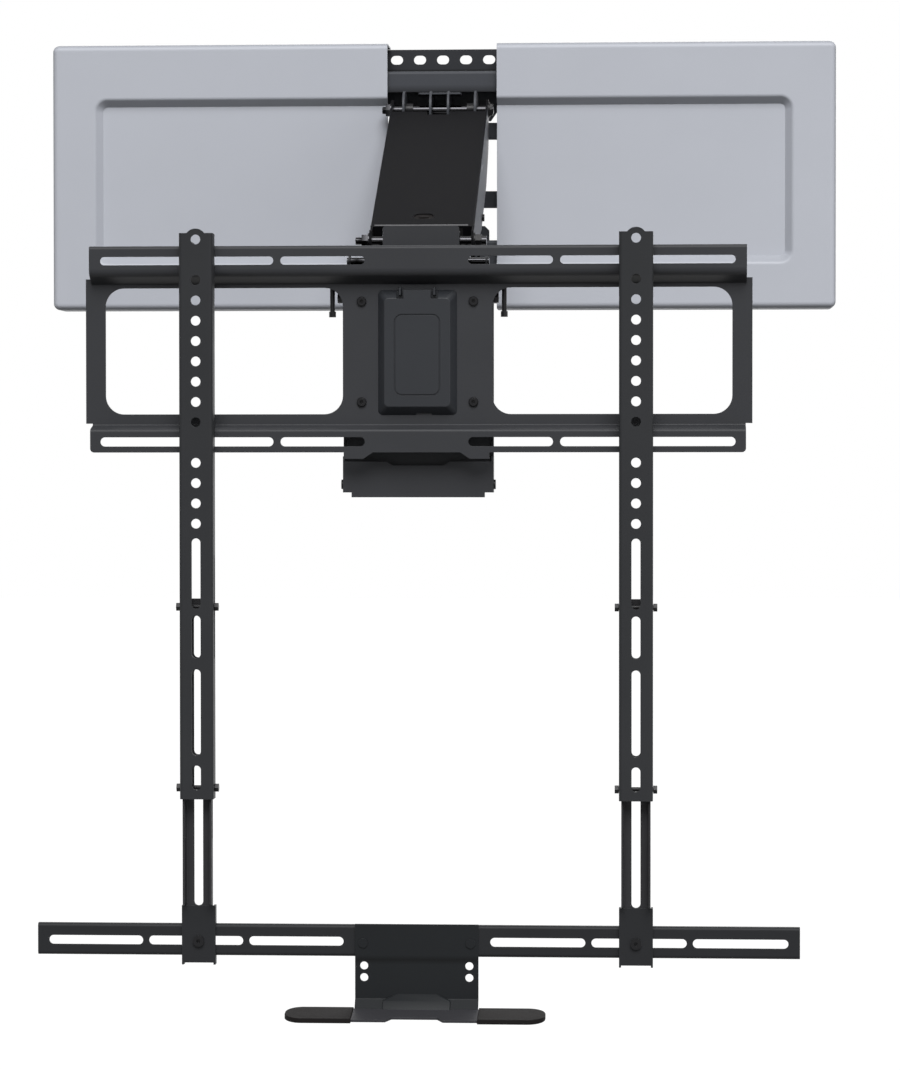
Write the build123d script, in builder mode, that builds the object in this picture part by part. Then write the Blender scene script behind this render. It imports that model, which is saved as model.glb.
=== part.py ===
from build123d import *
import os
from math import atan2, cos, degrees, radians, sin

os.makedirs("parts", exist_ok=True)

# Frame: X to the right and Z up as the viewer faces the wall, and Y into the wall.
# The wall is the plane y = 0, and the origin is the middle of the upper row of wall slots.
# A depth below is a distance out from the wall, so it is a negative y.

# Sheet and clearances
sheet = 2.5
plate_sheet = 3.0
gap = 0.3
run_fit = 0.06
bend = 3.0

# Wall frame
wall_rail_half = 345.0
wall_slot_pitch = 31.75
wall_slot_length = 16.7
wall_slot_height = 12.2
wall_slot_count = 21
wall_flange_above = 14.2
shelf_below = 20.0
top_box_depth = 50.0
top_box_height = 28.5
bottom_row_z = -320.0
bottom_box_top = -250.0
bottom_box_height = 41.0
bottom_box_depth = 40.0
bottom_flange_end = -335.0
upright_x = 117.5
upright_width = 26.0
upright_depth = 30.0
cross_bar_thick = 6.0
cross_bar_height = 23.0
cross_bar_z = (-98.5, -192.4)
frame_bolt_r = 3.0

# Covers
cover_shift = 2.0
cover_inner_x = 74.5
cover_outer_x = 534.5
cover_top = 17.2
cover_bottom = -344.5
cover_depth = 60.0
cover_wall = 2.5
cover_corner = 9.0
cover_edge = 8.0
recess_depth = 10.0
recess_slope = 10.0
recess_top = -57.0
recess_bottom = -283.0
recess_outer_x = 476.0
recess_corner = 17.0
recess_lead = 6.0
clip_x = (120.0, 270.0)
clip_width = 30.0
clip_height = 14.0

# Arm linkage, at the pose of the photograph
arm_length = 430.0
arm_angle = 27.5
shoulder_y = -68.0
shoulder_z = -75.0
link_drop = 62.0
pin_r = 6.0
link_pin_r = 5.0
arm_half = 65.9
arm_sheet = 3.0
panel_above = 12.0
panel_start = 33.0
panel_end_gap = 18.0
arm_side_low = ((412.0, -22.0), (250.0, -66.0), (103.0, -66.0), (24.0, -46.0))
arm_ear_r = 14.0
notch_half = 15.5
notch_depth = 11.0
end_tab_x = 51.0
end_tab_down = 6.0
side_bolt_at = (229.0, -58.0)
arm_bolt_r = 3.0
arm_bolt_head_r = 4.75
arm_bolt_head = 3.0
hand_hole_back = 49.0
hand_hole_length = 26.0
hand_hole_width = 17.0
link_bar_x = 54.0
link_bar_thick = 4.0
link_bar_r = 10.0
link_tie_at = 330.0
link_tie_r = 7.0
washer = 1.8
pin_washer_r = 10.4
pin_head_r = 9.0
pin_tip_r = 4.8
upper_pin_ends = (6.0, 5.0, 6.8)
lower_pin_ends = (8.0, 8.0, 15.8)
upper_nut_h = 4.0
lower_nut_h = 8.0

# Hinge bracket on the wall frame
ear_thick = 3.0
outer_ear_x = 48.5
inner_ear_x = 12.0
shoulder_ear_r = 26.0
ear_r = 14.0
ear_top = -56.0
bracket_half = 50.0
bracket_plate = 4.0
bracket_wide = 82.0
bracket_shoulder = (-62.6, 66.3, -85.0)
foot_half = 64.0
foot_top = -229.0
foot_corner = 6.0
ear_shelf_half = 29.0
ear_shelf_z = -52.0
ear_shelf_front = 80.0
ear_shelf_back = 52.0

# Gas springs: the two ends are as far from the shoulder pin as each other
spring_reach = 200.0
spring_open_angle = 66.0
spring_x = 30.0
cylinder_r = 10.5
tube_r = 7.0
rod_r = 4.0
eye_r = 8.5
eye_width = 14.0
eye_offset = 14.0
cylinder_length = 142.0
tube_length = 135.5
tube_start = 34.2
rod_length = 134.0
spring_wall = 3.0

# Head: heights from here on are measured from the arm's front pin
yoke_half = 48.0
yoke_sheet = 3.5
yoke_reach = 14.0
yoke_web = 4.0
yoke_top_above = 17.6
yoke_ear_r = 12.0
swivel_from_yoke = 20.0
swivel_pin_r = 7.0
hub_r = 17.5
lug_r = 13.5
lug_thick = 6.0
lug_top_z = -32.4
lug_low_z = -74.4
head_bolt_head = 6.0

# Housing behind the television plate
housing_half = 93.7
housing_top = -51.4
housing_height = 265.0
housing_side = 8.0
housing_lip = 6.0
housing_lip_half = 83.0
skirt_height = 38.5
skirt_side_height = 45.0
skirt_depth = 19.0
skirt_notch_half = 39.0
skirt_notch_run = 7.5
skirt_notch_depth = 4.8
tilt_z = -74.4
tilt_from_back = 10.0
tilt_bolt_r = 4.0
tilt_ear_r = 10.0
tab_reach = 22.0
tab_below = 10.5
screw_x = 107.0
screw_r = 3.0
screw_above_tab = 13.5
screw_below_tab = 36.5
screw_head_r = 4.3
screw_head_h = 7.0
side_bolt_up = 10.0

# Television plate
plate_from_tilt = 36.6
plate_step = 22.0
rail_half = 406.8
post_half = 414.0
low_rail_half = 405.8
rail_top = -11.0
rail_face = 34.4
step_run = 12.0
step_bend = 10.0
web_height = 176.5
low_step_run = 5.0
low_rail_face = 27.7
top_slot_below = 18.4
low_slot_below = 14.5
top_slot_height = 10.3
low_slot_height = 11.3
slot_spans = ((64.0, 168.6), (177.3, 393.0))
window_inner = 92.9
window_outer = 389.3
window_below = 5.0
window_above = 14.8
window_corner = 23.0
post_lip = 12.0
post_above = 6.4
post_below = 3.3
flange_corner = 5.0
tab_inner = 54.0
tab_outer = 90.0
tab_slant = 12.0
tab_drop = 8.0
screw_pos_x = 69.4
plate_screw_inset = (22.0, 29.8)
plate_screw_r = 4.0
plate_screw_head_r = 6.0
hanger_r = 5.0
tilt_half = 86.5

# Centre cover on the plate
centre_half = 49.0
centre_below = 8.0
centre_above = 13.5
centre_rise = 10.0
centre_side_slope = 8.2
centre_end_slope = 10.5
centre_corner = 6.0
groove_half = 28.6
groove_below = 30.0
groove_above = 24.0
groove_width = 1.6
centre_hook_x = 21.3
centre_notch_width = 8.6
centre_hook_width = 4.4
groove_depth = 1.2

# Television rails
rail_x = 271.0
rail_width = 41.8
rail_depth = 24.0
rail_shoulder_above = 14.6
first_hole_below = 7.9
hole_pitch = 25.0
hole_r = 6.0
hole_numbers = (0, 2, 3, 4, 5, 6, 7, 8, 9, 11, 12, 13, 14)
tab_r = 13.4
rail_slot_width = 11.0
rail_slot_runs = ((18.1, 87.0), (8.5, 52.5), (13.7, 106.7), (12.3, 30.3))
rail_tip = 11.5
adjust = 60.0
side_bolt_r = 3.0
upper_bolt_below = 10.0
lower_bolt_up = 13.5
hook_half = 16.0

# Extension legs, lower bar and handle
leg_width = 36.0
leg_overlap = 247.5
leg_above_bar = 7.3
leg_flange_gap = 2.0
clamp_above = 23.3
clamp_below = 8.3
clamp_ear = 2.5
bar_half = 472.7
bar_below_rails = 156.8
bar_height = 39.4
bar_depth = 8.0
bar_slot_below = 20.7
bar_slot_height = 11.2
bar_slot_length = 117.5
bar_slot_start = 91.0
bar_slot_pitch = 125.0
bar_bolt_r = 4.0
handle_half = 76.5
handle_above_bar = 1.3
handle_fold_below = 27.0
blade_below_fold = 12.0
blade_start = 11.0
blade_half = 159.0
blade_reach = 48.0
blade_drop = 7.0
blade_sheet = 3.0
blade_corner = 22.0
grip_skin = 1.5
grip_start = 33.0
blade_notch = 12.0
blade_notch_half = 28.0
handle_hole_x = 65.2
handle_hole_below = 10.8
handle_hole_pitch = 14.5
handle_hole_r = 5.0
rivet_x = 66.5
rivet_below = 22.2
rivet_r = 3.5


# Places worked out from the sizes above
arm_out = cos(radians(arm_angle))
arm_down = sin(radians(arm_angle))
wrist_y = shoulder_y - arm_length * arm_out
wrist_z = shoulder_z - arm_length * arm_down
low_shoulder_z = shoulder_z - link_drop
bracket_top = -shelf_below - sheet - gap
bracket_end = bottom_box_top + gap
base_direction = radians(arm_angle + spring_open_angle)
spring_base_y = shoulder_y - spring_reach * cos(base_direction)
spring_base_z = shoulder_z - spring_reach * sin(base_direction)
spring_top_y = shoulder_y - spring_reach * arm_out
spring_top_z = shoulder_z - spring_reach * arm_down
spring_span = 2 * spring_reach * sin(radians(spring_open_angle / 2))
yoke_back = -wrist_y + yoke_reach
swivel_y = -(yoke_back + yoke_web + swivel_from_yoke)
housing_back = -swivel_y + hub_r
tilt_y = -(housing_back + sheet + tilt_from_back)
low_pin_z = -link_drop
housing_bottom = housing_top - housing_height
skirt_top = housing_bottom + skirt_height
skirt_side_top = housing_bottom + skirt_side_height
side_bolt_z = housing_bottom + side_bolt_up
tab_z = housing_top - tab_below
screw_top = tab_z + screw_above_tab
screw_bottom = tab_z - screw_below_tab
plate_front = plate_from_tilt - tilt_y
rail_face_end = rail_top - rail_face
web_start = rail_face_end - step_run
web_end = web_start - web_height
low_face_start = web_end - low_step_run
low_face_end = low_face_start - low_rail_face
top_slot_z = rail_top - top_slot_below
low_slot_z = low_face_start - low_slot_below
hanger_z = top_slot_z
post_foot = web_start - bend
post_top = web_start + post_above
post_bottom = web_end + post_below
window_top = web_start - window_below
window_bottom = web_end + window_above
screw_pos_z = (web_start - plate_screw_inset[0], web_end + plate_screw_inset[1])
centre_top = web_start - centre_below
centre_bottom = web_end + centre_above
groove_top = centre_top - groove_below
groove_bottom = centre_bottom + groove_above
rail_shoulder = rail_top + rail_shoulder_above
hole_start = rail_shoulder - first_hole_below
rail_end = hole_start - hole_pitch * hole_numbers[-1]
rail_slots = []
for space, length in rail_slot_runs:
    rail_slots.append((rail_end - space, rail_end - space - length))
    rail_end -= space + length
rail_end -= rail_tip
leg_top = rail_end + leg_overlap
upper_bolt_z = leg_top - upper_bolt_below
lower_bolt_z = rail_end + lower_bolt_up
bar_top = rail_end - bar_below_rails
bar_bottom = bar_top - bar_height
bar_slot_z = bar_top - bar_slot_below
leg_end = bar_top + leg_above_bar
clamp_top = bar_top + clamp_above
clamp_bottom = bar_bottom - clamp_below
leg_flange_end = clamp_top + leg_flange_gap
leg_slots = (rail_slots[1], rail_slots[2], (rail_slots[3][0], clamp_top))
handle_top = bar_top + handle_above_bar
rivet_z = bar_top - rivet_below
handle_hole_z = (bar_bottom - handle_hole_below, bar_bottom - handle_hole_below - handle_hole_pitch)
handle_fold = handle_hole_z[1] - handle_fold_below
blade_z = handle_fold - blade_below_fold
plate_web = plate_front - plate_step
rail_front = plate_front + rail_depth
leg_back = plate_front + gap
leg_front = leg_back + rail_depth - sheet - bend


def front(depth):
    """Plane parallel to the wall, out from it by depth, with X right and Z up."""
    return Plane.XZ.offset(depth)


def side(x):
    """Plane square to X at x, with Y and Z as its own directions."""
    return Plane.YZ.offset(x)


def head_front(depth):
    """Plane parallel to the wall whose heights start at the arm's front pin."""
    return Plane(origin=(0, -depth, wrist_z), x_dir=(1, 0, 0), z_dir=(0, -1, 0))


def head_side(x):
    """Plane square to X whose heights start at the arm's front pin."""
    return Plane(origin=(x, 0, wrist_z), x_dir=(0, 1, 0), z_dir=(1, 0, 0))


def head_level(z):
    """Level plane at a height over the arm's front pin."""
    return Plane.XY.offset(wrist_z + z)


def along_arm(x, down=0.0):
    """Plane square to X whose own X runs down the arm and whose own Y is the arm's upper side."""
    return Plane(
        origin=(x, shoulder_y, shoulder_z - down),
        x_dir=(0, -arm_out, -arm_down),
        z_dir=(-1, 0, 0),
    )


def along_spring(x):
    """Plane square to X whose own X runs from the spring's base pin to its top pin."""
    return Plane(
        origin=(x, spring_base_y, spring_base_z),
        x_dir=(0, spring_top_y - spring_base_y, spring_top_z - spring_base_z),
        z_dir=(-1, 0, 0),
    )


def slot_row(first, pitch, count):
    """Centres of a row of slots along X."""
    return [first + pitch * i for i in range(count)]


# Upper wall rail: a flange on the wall, a shelf and a face
with BuildPart() as top_rail:
    with BuildSketch(side(-wall_rail_half)):
        with BuildLine():
            FilletPolyline(
                (-sheet / 2, wall_flange_above),
                (-sheet / 2, -shelf_below - sheet / 2),
                (-top_box_depth + sheet / 2, -shelf_below - sheet / 2),
                (-top_box_depth + sheet / 2, -shelf_below - top_box_height),
                radius=bend,
            )
        trace(line_width=sheet)
    extrude(amount=2 * wall_rail_half)
    with BuildSketch(front(0)):
        for x in slot_row(-wall_slot_pitch * (wall_slot_count - 1) / 2, wall_slot_pitch, wall_slot_count):
            with Locations((x, 0)):
                SlotOverall(wall_slot_length, wall_slot_height)
    extrude(amount=2 * sheet, mode=Mode.SUBTRACT)

# Lower wall rail
with BuildPart() as bottom_rail:
    with BuildSketch(side(-wall_rail_half)):
        with BuildLine():
            FilletPolyline(
                (-sheet, bottom_box_top - sheet / 2),
                (-bottom_box_depth + sheet / 2, bottom_box_top - sheet / 2),
                (-bottom_box_depth + sheet / 2, bottom_box_top - bottom_box_height + sheet / 2),
                (-sheet / 2, bottom_box_top - bottom_box_height + sheet / 2),
                (-sheet / 2, bottom_flange_end),
                radius=bend,
            )
        trace(line_width=sheet)
    extrude(amount=2 * wall_rail_half)
    with BuildSketch(front(0)):
        for x in slot_row(-wall_slot_pitch * (wall_slot_count - 1) / 2, wall_slot_pitch, wall_slot_count):
            with Locations((x, bottom_row_z)):
                SlotOverall(wall_slot_length, wall_slot_height)
    extrude(amount=2 * sheet, mode=Mode.SUBTRACT)


def upright(x):
    """Channel that joins the two wall rails, open to the wall."""
    upright_top = -shelf_below - sheet - gap
    with BuildPart() as channel:
        with BuildSketch(Plane.XY.offset(bottom_box_top + gap)):
            with BuildLine():
                FilletPolyline(
                    (x - upright_width / 2 + sheet / 2, -cross_bar_thick),
                    (x - upright_width / 2 + sheet / 2, -upright_depth + sheet / 2),
                    (x + upright_width / 2 - sheet / 2, -upright_depth + sheet / 2),
                    (x + upright_width / 2 - sheet / 2, -cross_bar_thick),
                    radius=bend,
                )
            trace(line_width=sheet)
        extrude(amount=upright_top - bottom_box_top - gap)
    return channel


left_upright = upright(-upright_x)
right_upright = upright(upright_x)

# Two flat bars across the back of the uprights
with BuildPart() as cross_bars:
    with BuildSketch(front(0)):
        for z in cross_bar_z:
            with Locations((0, z)):
                Rectangle(2 * upright_x + upright_width, cross_bar_height)
    extrude(amount=cross_bar_thick)

# Bracket on the cross bars: a plate with two outer and two inner ears
with BuildPart() as hinge_bracket:
    with BuildSketch(front(cross_bar_thick)):
        with BuildLine():
            edge_line = Polyline(
                (0, bracket_top),
                (bracket_wide, bracket_top),
                (bracket_wide, bracket_shoulder[0]),
                (bracket_shoulder[1], bracket_shoulder[2]),
                (bracket_half, bracket_shoulder[2]),
                (bracket_half, foot_top),
                (foot_half - foot_corner, foot_top),
                (foot_half, foot_top - foot_corner),
                (foot_half, bracket_end),
                (0, bracket_end),
            )
            mirror(edge_line, about=Plane.YZ)
        make_face()
    extrude(amount=bracket_plate)
    for x in (-outer_ear_x, -inner_ear_x, inner_ear_x, outer_ear_x):
        with BuildSketch(side(x - ear_thick / 2)):
            with Locations((shoulder_y, shoulder_z)):
                Circle(shoulder_ear_r)
            with Locations((shoulder_y, low_shoulder_z)):
                Circle(ear_r)
            with Locations((spring_base_y, spring_base_z)):
                Circle(ear_r)
            with Locations((-cross_bar_thick - bracket_plate, (ear_top + bracket_end) / 2)):
                Rectangle(sheet, ear_top - bracket_end)
            make_hull()
        extrude(amount=ear_thick)
    with BuildSketch(Plane.XY.offset(ear_shelf_z)):
        with Locations((0, -(ear_shelf_front + ear_shelf_back) / 2)):
            RectangleRounded(2 * ear_shelf_half, ear_shelf_front - ear_shelf_back, bend)
    extrude(amount=-sheet)
    with BuildSketch(side(-bracket_half)):
        with Locations((0, bracket_end)):
            Rectangle(
                bottom_box_depth + gap,
                bottom_box_height + ear_r,
                align=(Align.MAX, Align.MAX),
            )
    extrude(amount=2 * bracket_half, mode=Mode.SUBTRACT)
    with BuildSketch(side(-bracket_half)):
        with Locations((shoulder_y, shoulder_z)):
            Circle(pin_r + run_fit)
        with Locations((spring_base_y, spring_base_z)):
            Circle(link_pin_r)
    extrude(amount=2 * bracket_half, mode=Mode.SUBTRACT)
    for x in (-bracket_half, bracket_half - ear_thick):
        with BuildSketch(side(x)):
            with Locations((shoulder_y, low_shoulder_z)):
                Circle(link_pin_r)
        extrude(amount=ear_thick, mode=Mode.SUBTRACT)

# Pin under the two springs, between the ears
with BuildPart() as spring_base_pin:
    with BuildSketch(side(-bracket_half - 4)):
        with Locations((spring_base_y, spring_base_z)):
            Circle(link_pin_r)
    extrude(amount=2 * bracket_half + 8)
    for x in (-bracket_half - 4, bracket_half + gap):
        with BuildSketch(side(x)):
            with Locations((spring_base_y, spring_base_z)):
                Circle(link_pin_r + 3)
        extrude(amount=4 - gap)

# Stub pins that carry the lower links on the wall bracket
with BuildPart() as link_wall_pins:
    for direction in (-1, 1):
        with BuildSketch(side(direction * (bracket_half - ear_thick))):
            with Locations((shoulder_y, low_shoulder_z)):
                Circle(link_pin_r)
        extrude(amount=direction * (link_bar_x + link_bar_thick / 2 + 3 - bracket_half + ear_thick))
        with BuildSketch(side(direction * (link_bar_x + link_bar_thick / 2 + gap))):
            with Locations((shoulder_y, low_shoulder_z)):
                Circle(link_pin_r + 2.5)
        extrude(amount=direction * 2.5)

# Bolts that hold the cross bars to the uprights, seen from the front of the bars
with BuildPart() as frame_bolts:
    for x in (-bracket_half + 12, bracket_half - 12):
        for z in cross_bar_z:
            with BuildSketch(front(cross_bar_thick + bracket_plate)):
                with Locations((x, z)):
                    RegularPolygon(frame_bolt_r * 1.9, 6)
            extrude(amount=frame_bolt_r * 1.4)


def cover_block(inset):
    """Solid outline of the left cover, drawn in by inset, with the recess pressed into its front."""
    with BuildPart(mode=Mode.PRIVATE) as block:
        left = -cover_outer_x + inset
        bottom = cover_bottom + inset
        top = cover_top - inset
        open_end = -cover_inner_x + (cover_wall if inset else 0)
        with BuildSketch(front(0)):
            with Locations(((left + open_end) / 2, (bottom + top) / 2)):
                Rectangle(open_end - left, top - bottom)
        extrude(amount=cover_depth - inset)
        corner_edges = block.edges().filter_by(Axis.Y).group_by(Axis.X)[0]
        fillet(corner_edges, cover_corner - inset)
        front_edges = block.faces().sort_by(Axis.Y)[0].edges()
        open_edge = front_edges.sort_by(Axis.X)[-1]
        fillet(front_edges.filter_by(lambda edge: edge != open_edge), cover_edge - inset)
        past = recess_slope * 2
        with BuildSketch(front(cover_depth - inset)):
            recess_left = -recess_outer_x - inset * 0.6
            recess_right = open_end + past
            with Locations(((recess_left + recess_right) / 2, (recess_top + recess_bottom) / 2)):
                RectangleRounded(
                    recess_right - recess_left,
                    recess_top - recess_bottom + inset * 1.2,
                    recess_corner,
                )
        extrude(amount=-recess_depth, taper=degrees(atan2(recess_slope, recess_depth)), mode=Mode.SUBTRACT)
        mouth_y = inset - cover_depth
        mouth_edges = block.edges().filter_by_position(Axis.Y, mouth_y - 0.01, mouth_y + 0.01)
        mouth_edges = mouth_edges.filter_by(
            lambda edge: abs(edge.center().Z - (recess_top + recess_bottom) / 2)
            < (recess_top - recess_bottom) / 2 + recess_lead
            and edge.center().X > left + recess_lead * 3
        )
        fillet(mouth_edges, recess_lead - inset)
    return block.part


with BuildPart() as left_cover:
    add(Pos(cover_shift, 0, 0) * cover_block(0))
    add(Pos(cover_shift, 0, 0) * cover_block(cover_wall), mode=Mode.SUBTRACT)

with BuildPart() as right_cover:
    add(mirror(left_cover.part, about=Plane.YZ.offset(cover_shift)))


def cover_clips(direction):
    """Four slide blocks inside a cover, which ride on the faces of the wall rails."""
    upper_z = -shelf_below - top_box_height / 2
    lower_z = bottom_box_top - clip_height / 2 - 1
    with BuildPart() as clips:
        for x in clip_x:
            with BuildSketch(front(top_box_depth + gap)):
                with Locations((direction * x, upper_z)):
                    RectangleRounded(clip_width, clip_height, 2)
            extrude(amount=cover_depth - cover_wall - top_box_depth - gap)
            with BuildSketch(front(bottom_box_depth + gap)):
                with Locations((direction * x, lower_z)):
                    RectangleRounded(clip_width, clip_height, 2)
            extrude(amount=cover_depth - recess_depth - cover_wall - bottom_box_depth - gap)
    return clips


left_cover_clips = cover_clips(-1)
right_cover_clips = cover_clips(1)

# Upper arm: one bent sheet with a top panel and two deep sides
panel_end = arm_length - panel_end_gap
with BuildPart() as upper_arm:
    for x in (arm_half, -arm_half + arm_sheet):
        with BuildSketch(along_arm(x)):
            Circle(arm_ear_r)
            with Locations((arm_length, 0)):
                Circle(arm_ear_r)
            with BuildLine():
                Polyline(
                    (0, panel_above),
                    (arm_length - arm_ear_r, panel_above),
                    (arm_length, arm_ear_r - 2),
                    (arm_length, -arm_ear_r),
                    *arm_side_low,
                    (0, -arm_ear_r),
                    close=True,
                )
            make_face()
        extrude(amount=arm_sheet)
    with BuildSketch(along_arm(arm_half)):
        with Locations(((panel_start + panel_end) / 2, panel_above - arm_sheet / 2)):
            Rectangle(panel_end - panel_start, arm_sheet)
    extrude(amount=2 * arm_half)
    roof = upper_arm.faces().sort_by(Axis(origin=(0, 0, 0), direction=(0, -arm_down, arm_out)))[-1]
    bend_edges = roof.edges().filter_by(lambda edge: edge.length > panel_end / 2)
    fillet(bend_edges, arm_sheet * 0.85)
    with BuildSketch(along_arm(notch_half)):
        with Locations((panel_start, panel_above)):
            Rectangle(2 * notch_depth, 2 * arm_sheet + 1)
    extrude(amount=2 * notch_half, mode=Mode.SUBTRACT)
    for x in (arm_half, -end_tab_x):
        with BuildSketch(along_arm(x)):
            with Locations((panel_end, panel_above)):
                Rectangle(arm_sheet, panel_above + end_tab_down, align=(Align.MAX, Align.MAX))
        extrude(amount=arm_half - end_tab_x)
    with BuildSketch(along_arm(0)):
        with Locations((0, 0), (arm_length, 0)):
            Circle(pin_r)
        with Locations((spring_reach, 0)):
            Circle(link_pin_r)
        with Locations(side_bolt_at):
            Circle(arm_bolt_r)
    extrude(amount=arm_half + 1, both=True, mode=Mode.SUBTRACT)
    roof_plane = Plane(
        origin=(
            0,
            shoulder_y - (arm_length - hand_hole_back) * arm_out - panel_above * arm_down,
            shoulder_z - (arm_length - hand_hole_back) * arm_down + panel_above * arm_out,
        ),
        x_dir=(1, 0, 0),
        z_dir=(0, -arm_down, arm_out),
    )
    with BuildSketch(roof_plane):
        SlotOverall(hand_hole_length, hand_hole_width)
    extrude(amount=-2 * arm_sheet, mode=Mode.SUBTRACT)

# Plug in the panel's slot
with BuildPart() as panel_plug:
    with BuildSketch(roof_plane.offset(-arm_sheet)):
        SlotOverall(hand_hole_length - gap, hand_hole_width - gap)
    extrude(amount=arm_sheet - 1.2)
    with BuildSketch(roof_plane.offset(-arm_sheet)):
        SlotOverall(hand_hole_length + 4, hand_hole_width + 4)
    extrude(amount=-1.5)
    with BuildSketch(roof_plane.offset(-1.2)):
        SlotOverall(hand_hole_length * 0.5, hand_hole_width * 0.35)
    extrude(amount=1.0)


def cross_pin(y, z, head_h, left_tip, right_end):
    """Pin along X with a washer, a hexagon head and a tip at its left end."""
    with BuildPart() as pin:
        with BuildSketch(side(-arm_half)):
            with Locations((y, z)):
                Circle(pin_r)
        extrude(amount=2 * arm_half + right_end)
        with BuildSketch(side(-arm_half)):
            with Locations((y, z)):
                Circle(pin_washer_r)
        extrude(amount=-washer)
        with BuildSketch(side(-arm_half - washer)):
            with Locations((y, z)):
                RegularPolygon(pin_head_r, 6)
        extrude(amount=-head_h)
        with BuildSketch(side(-arm_half - washer - head_h)):
            with Locations((y, z)):
                Circle(pin_tip_r)
        extrude(amount=-left_tip)
        chamfer(pin.edges().filter_by(GeomType.CIRCLE).group_by(Axis.X)[0], 0.6)
    return pin


# Upper and lower pin of the arm: the height of the head, the tip at the left and the end past the arm
upper_pin = cross_pin(shoulder_y, shoulder_z, *upper_pin_ends)
lower_pin = cross_pin(wrist_y, wrist_z, *lower_pin_ends)

# Washer and nut on the right-hand end of each pin
with BuildPart() as arm_pin_nuts:
    for y, z, nut_h in ((shoulder_y, shoulder_z, upper_nut_h), (wrist_y, wrist_z, lower_nut_h)):
        with BuildSketch(side(arm_half)):
            with Locations((y, z)):
                Circle(pin_washer_r)
                Circle(pin_r + run_fit, mode=Mode.SUBTRACT)
        extrude(amount=washer)
        with BuildSketch(side(arm_half + washer)):
            with Locations((y, z)):
                RegularPolygon(pin_head_r, 6)
                Circle(pin_r + run_fit, mode=Mode.SUBTRACT)
        extrude(amount=nut_h)

# Collars on the upper pin, beside the outer ears
with BuildPart() as pin_collars:
    for direction in (-1, 1):
        with BuildSketch(side(direction * (outer_ear_x - ear_thick / 2))):
            with Locations((shoulder_y, shoulder_z)):
                Circle(pin_r + 3.5)
                Circle(pin_r + run_fit, mode=Mode.SUBTRACT)
        extrude(amount=-direction * 10.5)

# Pin in the arm that carries the spring rods
with BuildPart() as spring_top_pin:
    with BuildSketch(along_arm(arm_half)):
        with Locations((spring_reach, 0)):
            Circle(link_pin_r)
    extrude(amount=2 * arm_half)

# Bolt through each side of the arm, with a head outside and a flat nut inside
with BuildPart() as arm_side_bolts:
    for x in (arm_half, -arm_half + arm_sheet):
        with BuildSketch(along_arm(x)):
            with Locations(side_bolt_at):
                Circle(arm_bolt_r)
        extrude(amount=arm_sheet)
    for x in (arm_half + arm_bolt_head, -arm_half):
        with BuildSketch(along_arm(x)):
            with Locations(side_bolt_at):
                Circle(arm_bolt_head_r)
        extrude(amount=arm_bolt_head)
    for x in (arm_half - arm_sheet, -arm_half + arm_sheet + washer):
        with BuildSketch(along_arm(x)):
            with Locations(side_bolt_at):
                RegularPolygon(arm_bolt_head_r, 6)
        extrude(amount=washer)


def link_bar(direction):
    """Flat lower link with an eye at each end."""
    with BuildPart() as bar:
        with BuildSketch(along_arm(direction * link_bar_x + link_bar_thick / 2, link_drop)):
            with Locations((0, 0), (arm_length, 0)):
                Circle(link_bar_r)
            make_hull()
            with Locations((0, 0), (arm_length, 0)):
                Circle(link_pin_r + run_fit, mode=Mode.SUBTRACT)
        extrude(amount=link_bar_thick)
    return bar


left_link = link_bar(-1)
right_link = link_bar(1)

# Tube between the two lower links
with BuildPart() as link_tie:
    with BuildSketch(along_arm(link_bar_x - link_bar_thick / 2, link_drop)):
        with Locations((link_tie_at, 0)):
            Circle(link_tie_r)
            Circle(link_tie_r - 2, mode=Mode.SUBTRACT)
    extrude(amount=2 * link_bar_x - link_bar_thick)


def spring_cylinder(x):
    """Outer cylinder of a two-stage gas spring, with the eye on its base pin."""
    with BuildPart() as cylinder:
        with BuildSketch(along_spring(x)):
            with Locations((eye_offset + cylinder_length / 2, cylinder_r / 2)):
                Rectangle(cylinder_length, cylinder_r)
        revolve(axis=Axis(origin=(x, spring_base_y, spring_base_z), direction=spring_axis))
        with BuildSketch(along_spring(x + eye_width / 2)):
            Circle(eye_r)
            with Locations((eye_offset / 2, 0)):
                Rectangle(eye_offset, eye_r * 1.4)
        extrude(amount=eye_width)
        with BuildSketch(along_spring(x + eye_width / 2)):
            Circle(link_pin_r + run_fit)
        extrude(amount=eye_width, mode=Mode.SUBTRACT)
        bore = cylinder_length - spring_wall
        with BuildSketch(along_spring(x)):
            with Locations((eye_offset + spring_wall + bore / 2, (tube_r + run_fit) / 2)):
                Rectangle(bore, tube_r + run_fit)
        revolve(
            axis=Axis(origin=(x, spring_base_y, spring_base_z), direction=spring_axis),
            mode=Mode.SUBTRACT,
        )
    return cylinder


def spring_tube(x):
    """Middle tube of the spring, which slides in the cylinder."""
    with BuildPart() as tube:
        with BuildSketch(along_spring(x)):
            with Locations((tube_start + tube_length / 2, tube_r / 2)):
                Rectangle(tube_length, tube_r)
        revolve(axis=Axis(origin=(x, spring_base_y, spring_base_z), direction=spring_axis))
        bore = tube_length - spring_wall
        with BuildSketch(along_spring(x)):
            with Locations((tube_start + spring_wall + bore / 2, (rod_r + run_fit) / 2)):
                Rectangle(bore, rod_r + run_fit)
        revolve(
            axis=Axis(origin=(x, spring_base_y, spring_base_z), direction=spring_axis),
            mode=Mode.SUBTRACT,
        )
    return tube


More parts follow.
